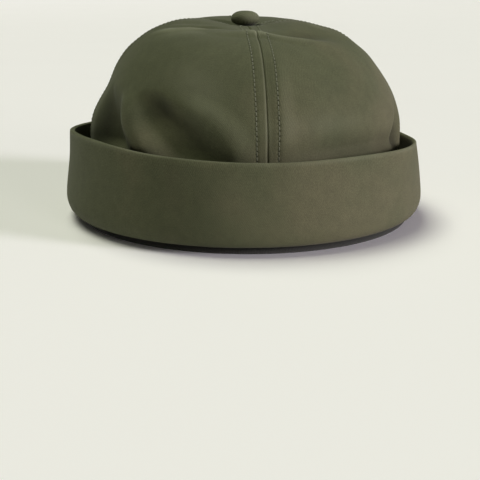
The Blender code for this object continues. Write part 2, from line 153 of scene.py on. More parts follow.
class Graph:
    """The node tree of one material, ending in a Principled shader."""

    def __init__(self, name: str) -> None:
        """Make an empty material with its shader.

        Args:
            name: the material's name.
        """
        self.material = bpy.data.materials.new(name)
        self.material.use_nodes = True
        self.tree = self.material.node_tree
        self.shader = self.tree.nodes["Principled BSDF"]

    def node(
        self,
        kind: str,
        settings: Mapping[str, Any] | None = None,
        sockets: Mapping[str | int, Any] | None = None,
        output: str | int = 0,
    ) -> Wire:
        """Add a node.

        Args:
            kind: the node's type name.
            settings: properties that are set before its sockets.
            sockets: a value or a wire for each input socket, by name or place.
            output: which output the wire stands for, by name or place.

        Returns:
            The wire of that output.
        """
        made = self.tree.nodes.new(kind)
        for key, value in (settings or {}).items():
            setattr(made, key, value)
        for key, value in (sockets or {}).items():
            self.plug(made.inputs[key], value)
        return Wire(self, made.outputs[output])

    def plug(self, target: bpy.types.NodeSocket, value: Any) -> None:
        """Link a wire to a socket, or set the socket's own value.

        Args:
            target: an input socket.
            value: a wire, or a value of the socket's own kind.
        """
        if isinstance(value, Wire):
            self.tree.links.new(value.socket, target)
        else:
            target.default_value = value

    def mix(self, share: Wire | float, low: Any, high: Any) -> Wire:
        """Mix two colours.

        Args:
            share: 0 gives low and 1 gives high.
            low: a colour or a wire of one.
            high: a colour or a wire of one.

        Returns:
            The mixed colour.
        """
        return self.node(
            "ShaderNodeMix", {"data_type": "RGBA"},
            {"Factor": share, 6: low, 7: high}, output=2,
        )

    def scaled(self, place: Wire, factors: tuple[float, float, float]) -> Wire:
        """A place, each coordinate times its own factor."""
        return self.node("ShaderNodeVectorMath", {"operation": "MULTIPLY"}, {0: place, 1: factors})

    def dimmed(self, colour: Wire, tone: Wire) -> Wire:
        """A colour, all of it times a tone."""
        return self.node("ShaderNodeVectorMath", {"operation": "SCALE"}, {0: colour, 3: tone})

    def coordinate(self, place: Wire, axis: str) -> Wire:
        """One coordinate of a place."""
        return self.node("ShaderNodeSeparateXYZ", None, {0: place}, output=axis)

    def attribute(self, label: str) -> Wire:
        """A number that the mesh carries."""
        return self.node("ShaderNodeAttribute", {"attribute_name": label}, output="Fac")

    def place(self) -> Wire:
        """The place on the object."""
        return self.node("ShaderNodeTexCoord", output="Object")

    def flat_cloth(self) -> tuple[Wire, Wire, Wire]:
        """The place on the flat cloth in millimetres, and its parts across and along.

        Returns:
            The whole place, its part across and its part along.
        """
        cloth = self.node("ShaderNodeUVMap", {"uv_map": CLOTH_UV})
        millimetres = self.scaled(cloth, (1.0 / MILLIMETRE, 1.0 / MILLIMETRE, 0.0))
        across, along = (self.coordinate(millimetres, axis) for axis in "XY")
        return millimetres, across, along

    def noise(self, place: Wire, scale: float, detail: float = 2.0) -> Wire:
        """Cloudy noise between 0 and 1, centred on one half."""
        return self.node(
            "ShaderNodeTexNoise", None,
            {"Vector": place, "Scale": scale, "Detail": detail, "Roughness": 0.55},
        )

    def grain(self, place: Wire, across: float, along: float, detail: float = 2.0) -> Wire:
        """Noise with its own fineness across and along, in waves to a unit of the place."""
        return self.noise(self.scaled(place, (across, along, 1.0)), 1.0, detail)

    def bump(
        self, height: Wire, distance: float, strength: float, under: Wire | None = None
    ) -> Wire:
        """A normal that follows a height map.

        Args:
            height: the height, about 0 to 1.
            distance: what a height of 1 means, in metres.
            strength: how strongly it acts.
            under: a normal that it starts from.

        Returns:
            The bumped normal.
        """
        sockets = {"Strength": strength, "Distance": distance, "Height": height}
        if under is not None:
            sockets["Normal"] = under
        return self.node("ShaderNodeBump", None, sockets)

    def set(self, **sockets: Any) -> None:
        """Set or link inputs of the shader; an underscore stands for a space."""
        for key, value in sockets.items():
            self.plug(self.shader.inputs[key.replace("_", " ")], value)


Colour = tuple[float, float, float, float]


@dataclass(frozen=True)
class Grain:
    """A layer of unevenness in the tone of cloth: its waves to a millimetre, and its share."""

    name: str
    across: float
    along: float
    share: float


@dataclass(frozen=True)
class TwillFinish:
    """Matt olive cotton twill, with a steep diagonal rib.

    Its lengths are in millimetres of the flat cloth, but a bump is a height in metres and a
    strength. A mesh value above 0 mixes in the pale colour, for worn edges with painted highlight
    and for painted highlights on the crests. A value below 0 darkens the cloth, for painted shade
    in creases, hollows and one side of the cuff, and for the cuff's darkening all round. A share
    says how much a layer counts, and a pair is where a smooth change starts and ends.
    """

    name: str = "olive_cotton_twill"
    yarn: Colour = (0.0890, 0.0945, 0.0495, 1.0)
    gap: Colour = (0.055, 0.059, 0.030, 1.0)
    warm: Colour = (0.101, 0.093, 0.053, 1.0)
    # Pale colour mixed in for worn edges and for painted highlights.
    wear_and_painted_light: Colour = (0.195, 0.200, 0.135, 1.0)
    # Near-black colour painted into the needle holes as painted shade.
    hole_shade: Colour = (0.014, 0.015, 0.007, 1.0)
    rib_across: float = 0.88
    rib_along: float = 1.50
    yarn_pitch: float = 0.42
    yarn_slant: float = 0.30
    stray: float = 0.9
    rib_share: float = 0.22
    fuzz_share: float = 0.85
    tone: float = 0.67
    cloud_share: float = 0.12
    grains: tuple[Grain, ...] = (
        Grain("slub", 2.4, 0.30, 0.12),
        Grain("weft", 0.25, 1.9, 0.10),
        Grain("mottle", 0.24, 0.17, 0.32),
    )
    speck_floor: float = 0.69
    speck_share: float = 0.62
    warm_bounce_slope: float = 6.0
    warm_clouds: float = 3.0
    warm_rise: tuple[float, float] = (0.75, 2.10)
    warm_share: float = 0.85
    row_from_seam: float = 5.5
    stitch_pitch: float = 2.5
    hole_beat: tuple[float, float] = (0.72, 0.97)
    hole_reach: tuple[float, float] = (0.25, 0.65)
    hole_shade_share: float = 0.85
    pucker_reach: tuple[float, float] = (0.10, 1.9)
    # How strongly painted shade and darkening below 0, and worn edges and painted highlight above
    # 0, change the cloth.
    most_darkening: float = 1.5
    darkening_depth: float = 0.35
    palest: float = 2.0
    pale_gap_depth: float = 0.12
    wear_and_painted_light_share: float = 0.70
    cloud_bump: tuple[float, float] = (0.0009, 0.25)
    pucker_bump: tuple[float, float] = (0.00028, 0.8)
    speck_bump: tuple[float, float] = (0.00012, 0.6)
    weave_bump: tuple[float, float] = (0.00012, 0.6)
    roughness: float = 0.90
    smoother_rib: float = 0.10
    specular: float = 0.25
    sheen: float = 0.04

    def make(self) -> bpy.types.Material:
        """Build the material.

        Returns:
            The finished material.
        """
        g = Graph(self.name)
        place = g.place()
        millimetres, across, along = g.flat_cloth()
        across = across + (g.noise(millimetres, 0.35, 1.0) - 0.5) * self.stray

        rib = (across * (1.0 / self.rib_across) + along * (1.0 / self.rib_along)).wave()
        slant = self.yarn_slant / self.yarn_pitch
        floats = (along * (1.0 / self.yarn_pitch) - across * slant).wave()
        fuzz = g.grain(millimetres, 3.2, 2.2)
        weave = rib * floats.at_least(0.70) * self.rib_share + fuzz * self.fuzz_share
        cloud = g.noise(place, 38.0)
        speck = g.noise(millimetres, 1.35, 1.0)

        colour = g.mix((weave - 0.15).ramp(0.0, 0.75), self.gap, self.yarn)
        colour = g.mix(self._warmth(g, place), colour, self.warm)
        tone = self.tone + cloud * self.cloud_share
        for grain in self.grains:
            tone = tone + g.grain(millimetres, grain.across, grain.along) * grain.share
        tone = tone * (self.speck_floor + speck * self.speck_share)

        # Painted light from the mesh: below 0 painted shade and darkening, above 0 worn edges and
        # painted highlights.
        wear = g.attribute(WEAR_AND_LIGHT)
        darkening = (0.0 - wear).ramp(0.0, self.most_darkening) * self.most_darkening
        wear = wear.ramp(0.0, self.palest) * self.palest
        tone = tone * (1.0 - wear * (1.0 - rib) * self.pale_gap_depth)
        tone = tone * (1.0 - darkening * self.darkening_depth)
        wear_and_painted_light = wear * rib.at_least(0.40) * cloud.ramp(0.25, 0.70).at_least(0.45)
        colour = g.mix(wear_and_painted_light * self.wear_and_painted_light_share, g.dimmed(colour, tone), self.wear_and_painted_light)

        # Needle holes painted dark: painted shade where the thread goes into the cloth.
        hole_shade, pucker = self._needlework(g, millimetres, along)
        colour = g.mix(hole_shade * self.hole_shade_share, colour, self.hole_shade)

        normal = g.bump(cloud, *self.cloud_bump)
        normal = g.bump(1.0 - pucker, *self.pucker_bump, normal)
        normal = g.bump(speck, *self.speck_bump, normal)
        normal = g.bump(weave, *self.weave_bump, normal)
        g.set(Base_Color=colour, Normal=normal)
        g.set(Roughness=self.roughness - rib * self.smoother_rib)
        g.set(Sheen_Weight=self.sheen, Sheen_Roughness=0.45, Specular_IOR_Level=self.specular)
        g.material.diffuse_color = self.yarn
        return g.material

    def _warmth(self, g: Graph, place: Wire) -> Wire:
        """How much warm colour is mixed in: random clouds, and painted warm bounce light low on the
        right.

        Args:
            g: the material's graph.
            place: the place on the object.

        Returns:
            The share of the warm colour.
        """
        # Painted warm bounce light: more warm colour towards +X and low down.
        lean = (g.coordinate(place, "X") - g.coordinate(place, "Z")) * self.warm_bounce_slope
        clouds = g.noise(place, 24.0) * self.warm_clouds
        return (lean + clouds).ramp(*self.warm_rise) * self.warm_share

    def _needlework(self, g: Graph, millimetres: Wire, along: Wire) -> tuple[Wire, Wire]:
        """Painted shade in the topstitched rows' needle holes, and how the cloth puckers round
        them.

        Args:
            g: the material's graph.
            millimetres: place on the flat cloth.
            along: how far down the panel, in millimetres.

        Returns:
            The painted shade of the holes and the puckers, each 0 to 1.
        """
        off_row = (g.attribute(SEAM) * (1.0 / MILLIMETRE) - self.row_from_seam).absolute()
        beat = (along * (1.0 / self.stitch_pitch) + 0.25).wave()
        uneven = g.grain(millimetres, 0.45, 0.30, 1.0).ramp(0.30, 0.62)
        hole_shade = beat.ramp(*self.hole_beat) * (1.0 - off_row.ramp(*self.hole_reach))
        pucker = beat.at_least(0.35) * (1.0 - off_row.ramp(*self.pucker_reach)) * uneven
        return hole_shade * uneven.at_least(0.45), pucker


@dataclass(frozen=True)
class ThreadFinish:
    """Spun sewing thread, a shade paler than the cloth."""

    name: str = "olive_sewing_thread"
    colour: Colour = (0.160, 0.166, 0.110, 1.0)
    dark: Colour = (0.100, 0.106, 0.066, 1.0)

    def make(self) -> bpy.types.Material:
        """Build the material.

        Returns:
            The finished material.
        """
        g = Graph(self.name)
        place = g.place()
        fibre = g.noise(g.scaled(place, (1.0, 1.0, 2.5)), 1400.0, 1.0)
        shade = g.noise(place, 260.0, 1.0)
        colour = g.mix((fibre * 0.6 + shade * 0.4).ramp(0.25, 0.75), self.dark, self.colour)
        g.set(Base_Color=colour, Normal=g.bump(fibre, 0.00006, 0.7))
        g.set(Roughness=0.62 + shade * 0.15, Sheen_Weight=0.15)
        g.material.diffuse_color = self.colour
        return g.material


@dataclass(frozen=True)
class TapeFinish:
    """Black woven tape with fine upright ribs."""

    name: str = "black_woven_tape"
    rib: Colour = (0.036, 0.035, 0.031, 1.0)
    gap: Colour = (0.014, 0.014, 0.012, 1.0)
    rib_pitch: float = 0.75

    def make(self) -> bpy.types.Material:
        """Build the material.

        Returns:
            The finished material.
        """
        g = Graph(self.name)
        place = g.place()
        millimetres, across, along = g.flat_cloth()
        ribs = (across * (1.0 / self.rib_pitch)).wave()
        picks = (along * 2.6).wave()
        fuzz = g.noise(millimetres, 1.6)
        weave = ribs * picks.at_least(0.75) * 0.8 + fuzz * 0.3
        cloud = g.noise(place, 45.0)
        colour = g.mix((weave + (cloud - 0.5) * 0.3).ramp(0.05, 0.85), self.gap, self.rib)
        g.set(Base_Color=colour, Normal=g.bump(weave, 0.00022, 0.8))
        g.set(Roughness=0.78 - ribs * 0.12, Sheen_Weight=0.10, Sheen_Roughness=0.4)
        g.material.diffuse_color = self.rib
        return g.material


@dataclass(frozen=True)
class FloorFinish:
    """Plain pale studio paper."""

    name: str = "pale_paper"
    colour: Colour = (0.965, 0.935, 1.00, 1.0)
    shade: Colour = (0.945, 0.915, 0.98, 1.0)

    def make(self) -> bpy.types.Material:
        """Build the material.

        Returns:
            The finished material.
        """
        g = Graph(self.name)
        cloud = g.noise(g.place(), 3.0, 1.0)
        g.set(Base_Color=g.mix(cloud, self.shade, self.colour), Roughness=0.95)
        return g.material


# ---- Shape of the crown


def smooth(low: float, high: float, value: Grid) -> Grid:
    """A smooth rise from 0 at low to 1 at high."""
    part = np.clip((value - low) / (high - low), 0.0, 1.0)
    return part * part * (3.0 - 2.0 * part)


def between(around: Sequence[Any], t: Any) -> Any:
    """A smooth step at t, 0 to 1, from the second to the third of four neighbours.

    Args:
        around: the neighbours, as numbers or as rows of numbers.
        t: how far on the way, as one number or a column of them.

    Returns:
        The value or rows at t.
    """
    before, here, there, after = around
    leave, arrive = 0.5 * (there - before), 0.5 * (after - here)
    rise = (3.0 * t ** 2 - 2.0 * t ** 3) * (there - here)
    return here + rise + (t ** 3 - 2.0 * t ** 2 + t) * leave + (t ** 3 - t ** 2) * arrive


def smooth_curve(points: Grid, steps: int, closed: bool) -> Grid:
    """A smooth curve through points.

    Args:
        points: one row for each point.
        steps: how many pieces each stretch between two points is cut into.
        closed: whether the last point joins the first.

    Returns:
        The curve's points, one row each.
    """
    count = len(points)
    place = np.arange(count * steps if closed else (count - 1) * steps + 1) / steps
    first = np.minimum(place.astype(int), count - (1 if closed else 2))
    around = []
    for k in NEIGHBOURS:
        index = (first + k) % count if closed else np.clip(first + k, 0, count - 1)
        around.append(points[index])
    return between(around, (place - first)[:, None])


@dataclass(frozen=True)
class Dent:
    """A smooth hollow of the wall, or a bulge where its depth is below 0.

    Azimuth and lean are in degrees. Across and along are its half-sizes round the crown and
    down it, before it is turned by its lean. Its last field is light painted into the cloth's
    colour at its middle: a painted highlight above 0, painted shade below 0.
    """

    name: str
    azimuth: float
    down: float
    across: float
    along: float
    lean: float
    depth: float
    painted_light_and_wear: float = 0.0


@dataclass(frozen=True)
class Fold:
    """A hollow with steep sides along a bent line, or a ridge where its depths are below 0.

    Each row of its line holds an azimuth in degrees, a share down, how far the fold reaches to
    the left and to the right of the line as one goes along it, and its depth. Its last field is
    light painted into the cloth's colour along the line: a painted highlight above 0, painted
    shade below 0.
    """

    name: str
    line: tuple[tuple[float, float, float, float, float], ...]
    painted_light_and_wear: float = 0.0

    @property
    def deepest(self) -> float:
        """The depth of the line's deepest or proudest row."""
        return max((row[4] for row in self.line), key=abs)


@dataclass(frozen=True)
class Ripple:
    """Soft unevenness of cloth: a few long waves in seeded directions."""

    length: float
    height: float
    seed: int
    waves: int = 14

    def at(self, points: Grid) -> Grid:
        """How far the cloth stands out at each point.

        Args:
            points: places, one row each.

        Returns:
            The height at each place, in metres.
        """
        draw = np.random.default_rng(self.seed)
        total = np.zeros(points.shape[:-1])
        for _ in range(self.waves):
            direction = draw.normal(size=3)
            direction = direction / np.linalg.norm(direction)
            number = TURN / (self.length * draw.uniform(0.7, 1.5))
            total = total + np.sin(points @ direction * number + draw.uniform(0.0, TURN))
        return total * self.height / math.sqrt(self.waves)


# A dent's last field paints light into the cloth: highlights on crests and flats above 0, shade in
# hollows below 0. The two nearly flat dents in the front and side hollows only paint shade.
CROWN_DENTS = (
    Dent("sunk_top", 0, 0.00, 0.027, 0.025, 0, 0.0082),
    Dent("button_pull", 0, 0.00, 0.013, 0.013, 0, 0.0016),
    Dent("sunk_front", 10, 0.23, 0.034, 0.021, 0, 0.0062),
    Dent("front_dip", 0, 0.135, 0.026, 0.014, 0, 0.0026),
    Dent("behind_crest", -4, 0.225, 0.020, 0.008, 0, 0.0008),
    Dent("hollow_behind_ridge", 31, 0.290, 0.021, 0.009, -10, 0.0038, painted_light_and_wear=-1.0),
    Dent("hollow_left_of_button", -50, 0.235, 0.018, 0.006, 12, 0.0012),
    Dent("left_flat", -29, 0.55, 0.024, 0.018, 0, 0.0014, painted_light_and_wear=0.9),
    Dent("left_crest_front", -47, 0.318, 0.022, 0.007, 12, -0.0003, painted_light_and_wear=1.0),
    Dent("front_hollow_shade", -38, 0.607, 0.014, 0.009, 0, 0.0002, painted_light_and_wear=-1.5),
    Dent("side_hollow_shade", -71, 0.685, 0.011, 0.021, 0, 0.0002, painted_light_and_wear=-1.3),
    Dent("left_top", -90, 0.335, 0.040, 0.012, 0, -0.0003),
    Dent("left_shoulder", -90, 0.45, 0.040, 0.012, 0, 0.0009),
    Dent("left_flank", -90, 0.57, 0.040, 0.015, 0, 0.0038),
    Dent("left_side", -90, 0.72, 0.040, 0.014, 0, -0.0004),
    Dent("right_top", 90, 0.26, 0.040, 0.015, 0, 0.0022),
    Dent("right_shoulder", 86, 0.40, 0.040, 0.010, 0, 0.0012),
    Dent("right_flank", 90, 0.50, 0.040, 0.014, 0, 0.0019),
    Dent("right_side", 90, 0.68, 0.040, 0.014, 0, -0.0012),
    Dent("right_hollow", 32, 0.772, 0.036, 0.013, 0, 0.0066, painted_light_and_wear=-0.5),
    Dent("right_hollow_side", 54, 0.765, 0.016, 0.011, 0, 0.0036, painted_light_and_wear=-0.4),
    Dent("right_fullness", 19, 0.670, 0.030, 0.009, 0, -0.0013, painted_light_and_wear=0.6),
    Dent("right_flat", 29, 0.53, 0.024, 0.024, 0, 0.0022),
)

# A fold's last field paints a highlight along its line above 0, and shade along it below 0.
CROWN_FOLDS = (
    Fold("left_crest", (
        (-68.0, 0.345, 0.006, 0.013, -0.0005),
        (-58.0, 0.318, 0.006, 0.015, -0.0012),
        (-48.0, 0.292, 0.006, 0.016, -0.0017),
        (-40.0, 0.275, 0.006, 0.015, -0.0016),
        (-32.0, 0.266, 0.006, 0.012, -0.0009),
        (-26.0, 0.272, 0.006, 0.010, -0.0005),
    ), painted_light_and_wear=1.9),
    Fold("left_crease", (
        (-70.0, 0.310, 0.008, 0.005, 0.0004),
        (-60.0, 0.286, 0.010, 0.005, 0.0014),
        (-50.0, 0.262, 0.010, 0.005, 0.0022),
        (-40.0, 0.242, 0.010, 0.005, 0.0024),
        (-32.0, 0.232, 0.008, 0.005, 0.0012),
        (-26.0, 0.230, 0.007, 0.005, 0.0003),
    ), painted_light_and_wear=-1.0),
    Fold("front_crest", (
        (-25.0, 0.300, 0.006, 0.012, -0.0006),
        (-14.0, 0.298, 0.007, 0.014, -0.0012),
        (-3.0, 0.290, 0.008, 0.015, -0.0026),
        (6.0, 0.298, 0.008, 0.014, -0.0030),
        (14.0, 0.324, 0.008, 0.012, -0.0026),
        (24.0, 0.349, 0.007, 0.010, -0.0020),
        (33.0, 0.364, 0.006, 0.009, -0.0012),
        (40.0, 0.376, 0.006, 0.009, -0.0004),
    ), painted_light_and_wear=1.7),
    Fold("front_hollow", (
        (-43.5, 0.592, 0.008, 0.006, 0.0018),
        (-40.0, 0.618, 0.010, 0.010, 0.0056),
        (-36.0, 0.650, 0.014, 0.012, 0.0082),
        (-30.5, 0.685, 0.017, 0.015, 0.0088),
        (-26.0, 0.730, 0.020, 0.019, 0.0086),
        (-23.5, 0.785, 0.021, 0.023, 0.0072),
    )),
    Fold("front_brow", (
        (-37.0, 0.562, 0.012, 0.008, -0.0002),
        (-29.5, 0.590, 0.012, 0.008, -0.0006),
        (-22.5, 0.617, 0.012, 0.009, -0.0012),
        (-16.0, 0.645, 0.012, 0.009, -0.0020),
        (-11.0, 0.685, 0.011, 0.009, -0.0018),
        (-8.5, 0.740, 0.010, 0.009, -0.0010),
    ), painted_light_and_wear=0.4),
    Fold("pinched_ridge", (
        (-55.0, 0.610, 0.007, 0.010, -0.0006),
        (-51.0, 0.650, 0.009, 0.014, -0.0042),
        (-46.0, 0.695, 0.010, 0.018, -0.0064),
        (-42.0, 0.740, 0.011, 0.020, -0.0068),
        (-39.5, 0.790, 0.011, 0.019, -0.0048),
    ), painted_light_and_wear=-0.7),
    Fold("side_hollow", (
        (-65.5, 0.620, 0.014, 0.010, 0.0010),
        (-64.0, 0.655, 0.022, 0.018, 0.0058),
        (-62.0, 0.700, 0.027, 0.022, 0.0090),
        (-60.0, 0.750, 0.028, 0.023, 0.0092),
        (-59.0, 0.790, 0.028, 0.023, 0.0076),
    )),
    Fold("back_crest", (
        (74.0, 0.205, 0.008, 0.010, -0.0002),
        (66.0, 0.235, 0.008, 0.010, -0.0005),
        (62.0, 0.270, 0.008, 0.009, -0.0004),
        (59.0, 0.310, 0.006, 0.008, -0.0002),
    ), painted_light_and_wear=0.9),
    Fold("right_edge_crease", (
        (71.0, 0.650, 0.012, 0.008, 0.0003),
        (69.0, 0.685, 0.014, 0.009, 0.0024),
        (67.0, 0.720, 0.015, 0.009, 0.0050),
        (66.0, 0.760, 0.015, 0.009, 0.0060),
        (65.5, 0.790, 0.015, 0.009, 0.0056),
    ), painted_light_and_wear=-1.5),
    Fold("long_ridge", (
        (6.0, 0.430, 0.006, 0.008, -0.0003),
        (5.6, 0.500, 0.007, 0.008, -0.0012),
        (5.2, 0.600, 0.007, 0.008, -0.0015),
        (5.2, 0.680, 0.007, 0.009, -0.0013),
        (5.2, 0.750, 0.007, 0.009, -0.0006),
    ), painted_light_and_wear=0.35),
)


@dataclass
class CrownForm:
    """The crown's outer surface, as a function of azimuth and the way down."""

    half_width: float = 0.0920
    extra_half_length: float = 0.0050
    top: float = 0.1188
    shoulder_height: float = 0.0410
    dome_power: float = 2.35
    hem_height: float = 0.0048
    hem_flare: float = 0.0025
    round_below: float = 0.0370
    free_above: float = 0.0520
    dent_reach: float = 0.05
    tangent_step: float = 0.0004
    pole_share: float = 0.01
    fold_steps: int = 8
    fold_blend: float = 0.003
    painted_light_sharpness: float = 1.3
    samples: int = 400
    dents: tuple[Dent, ...] = CROWN_DENTS
    folds: tuple[Fold, ...] = CROWN_FOLDS
    ripples: tuple[Ripple, ...] = (Ripple(0.045, 0.00035, 11), Ripple(0.016, 0.00010, 12))
    reach: Grid = field(init=False, repr=False)
    height: Grid = field(init=False, repr=False)
    share: Grid = field(init=False, repr=False)
    length: float = field(init=False)

    def __post_init__(self) -> None:
        """Work out the section: its reach, heights and shares of its length."""
        bend = np.linspace(0.0, math.pi / 2.0, self.samples)
        power = 2.0 / self.dome_power
        rise = self.top - self.shoulder_height
        wall = np.linspace(0.0, 1.0, self.samples // 4)[1:]
        flare = self.hem_flare / self.half_width
        self.reach = np.concatenate([np.sin(bend) ** power, 1.0 + flare * wall ** 2])
        upper = self.shoulder_height + rise * np.cos(bend) ** power
        lower = self.shoulder_height + (self.hem_height - self.shoulder_height) * wall
        self.height = np.concatenate([upper, lower])
        steps = np.hypot(np.diff(self.reach * self.half_width), np.diff(self.height))
        along = np.concatenate([[0.0], np.cumsum(steps)])
        self.length = float(along[-1])
        self.share = along / along[-1]

    def radius(self, down: Grid) -> Grid:
        """Half the width of the plain crown at a share of the way down."""
        return np.interp(down, self.share, self.reach) * self.half_width

    def share_at(self, radius: float) -> float:
        """How far down the section the crown reaches a radius near its top."""
        dome = slice(0, self.samples)
        return float(np.interp(radius / self.half_width, self.reach[dome], self.share[dome]))

    def plain(self, azimuth: Grid, down: Grid) -> Grid:
        """Points of the crown without its dents.

        Args:
            azimuth: in radians, for each point.
            down: share of the way down, for each point.

        Returns:
            The points.
        """
        radius = self.radius(down)
        height = np.interp(down, self.share, self.height)
        reach = np.interp(down, self.share, self.reach)
        x = radius * np.sin(azimuth)
        y = -(radius + self.extra_half_length * reach) * np.cos(azimuth)
        return np.stack(np.broadcast_arrays(x, y, height), axis=-1)

    def normals(self, surface: Surface, azimuth: Grid, down: Grid) -> Grid:
        """Outward unit normals of a surface, by small steps along it.

        Args:
            surface: gives the points at azimuths and shares of the way down.
            azimuth: in radians, for each point.
            down: share of the way down, for each point.

        Returns:
            The normals.
        """
        down = np.maximum(down, self.pole_share)
        turn = self.tangent_step / self.radius(down)
        drop = self.tangent_step / self.length
        across = surface(azimuth + turn, down) - surface(azimuth - turn, down)
        low, high = np.clip(down - drop, 0.0, 1.0), np.clip(down + drop, 0.0, 1.0)
        along = surface(azimuth, high) - surface(azimuth, low)
        normal = np.cross(along, across)
        return normal / np.linalg.norm(normal, axis=-1, keepdims=True)

    def _dent(self, dent: Dent, points: Grid) -> Grid:
        """How far one dent sinks each point.

        Args:
            dent: the dent.
            points: places on the plain crown.

        Returns:
            Depths in metres, below 0 for a bulge.
        """
        azimuth, down = np.array(math.radians(dent.azimuth)), np.array(dent.down)
        centre = self.plain(azimuth, down)
        outward = self.normals(self.plain, azimuth, down)
        sideways = np.array([math.cos(azimuth), math.sin(azimuth), 0.0])
        sideways = sideways - outward * (sideways @ outward)
        sideways = sideways / np.linalg.norm(sideways)
        upward = np.cross(outward, sideways)
        lean = math.radians(dent.lean)
        across = sideways * math.cos(lean) + upward * math.sin(lean)
        along = upward * math.cos(lean) - sideways * math.sin(lean)
        offset = points - centre
        spread = ((offset @ across) / dent.across) ** 2 + ((offset @ along) / dent.along) ** 2
        return dent.depth * np.exp(-spread - ((offset @ outward) / self.dent_reach) ** 2)

    def _fold(self, fold: Fold, points: Grid) -> Grid:
        """How far one fold sinks each point.

        Args:
            fold: the fold.
            points: places on the plain crown.

        Returns:
            Depths in metres, below 0 for a ridge.
        """
        line = smooth_curve(np.array(fold.line), self.fold_steps, closed=False)
        azimuth, down = np.radians(line[:, 0]), line[:, 1]
        path = self.plain(azimuth, down)
        rightward = np.cross(self.normals(self.plain, azimuth, down), np.gradient(path, axis=0))
        rightward = rightward / np.linalg.norm(rightward, axis=1, keepdims=True)
        sunk = np.zeros(points.shape[:-1])
        for place, right, row in zip(path, rightward, line):
            offset = points - place
            reach = row[2] + (row[3] - row[2]) * smooth(-1.0, 1.0, offset @ right / self.fold_blend)
            part = np.linalg.norm(offset, axis=-1) / reach
            sunk = np.maximum(sunk, abs(row[4]) * (1.0 - smooth(0.0, 1.0, part)))
        return math.copysign(1.0, fold.line[0][4]) * sunk

    def wear_and_painted_light(self, azimuth: Grid, down: Grid) -> Grid:
        """Light painted on the crown: highlight on crests, shade below 0 in creases and hollows.

        Args:
            azimuth: in radians, for each point.
            down: share of the way down, for each point.

        Returns:
            The painted light at each point.
        """
        points = self.plain(azimuth, down)
        wear = np.zeros(points.shape[:-1])
        for dent in self.dents:
            if dent.painted_light_and_wear:
                wear = wear + dent.painted_light_and_wear * self._dent(dent, points) / dent.depth
        for fold in self.folds:
            if fold.painted_light_and_wear:
                share = self._fold(fold, points) / fold.deepest
                wear = wear + fold.painted_light_and_wear * share ** self.painted_light_sharpness
        return wear

    def sunk(self, azimuth: Grid, down: Grid) -> Grid:
        """Points of the crown's outer face with its dents, folds and unevenness.

        Args:
            azimuth: in radians, for each point.
            down: share of the way down, for each point.

        Returns:
            The points.
        """
        points = self.plain(azimuth, down)
        free = smooth(self.round_below, self.free_above, points[..., 2])
        depth = np.zeros(points.shape[:-1])
        for dent in self.dents:
            depth = depth + self._dent(dent, points)
        for fold in self.folds:
            depth = depth + self._fold(fold, points)
        for ripple in self.ripples:
            depth = depth - ripple.at(points)
        outward = self.normals(self.plain, azimuth, down)
        return points - outward * (depth * free)[..., None]


# ---- Cloth meshes


def lay_cloth(mesh: bpy.types.Mesh, cloth: Grid, values: Mapping[str, Grid]) -> None:
    """Give a mesh its cloth coordinates and the numbers that its material reads.

    Args:
        mesh: the finished mesh.
        cloth: where each vertex lies on the flat cloth, in metres.
        values: a number for each vertex, by its name.
    """
    loops = np.zeros(len(mesh.loops), np.int32)
    mesh.loops.foreach_get("vertex_index", loops)
    while mesh.uv_layers:
        mesh.uv_layers.remove(mesh.uv_layers[0])
    layer = mesh.uv_layers.new(name=CLOTH_UV)
    layer.data.foreach_set("uv", cloth[loops].astype(np.float32).ravel())
    for label, numbers in values.items():
        layer = mesh.attributes.new(label, "FLOAT", "POINT")
        layer.data.foreach_set("value", numbers.astype(np.float32))


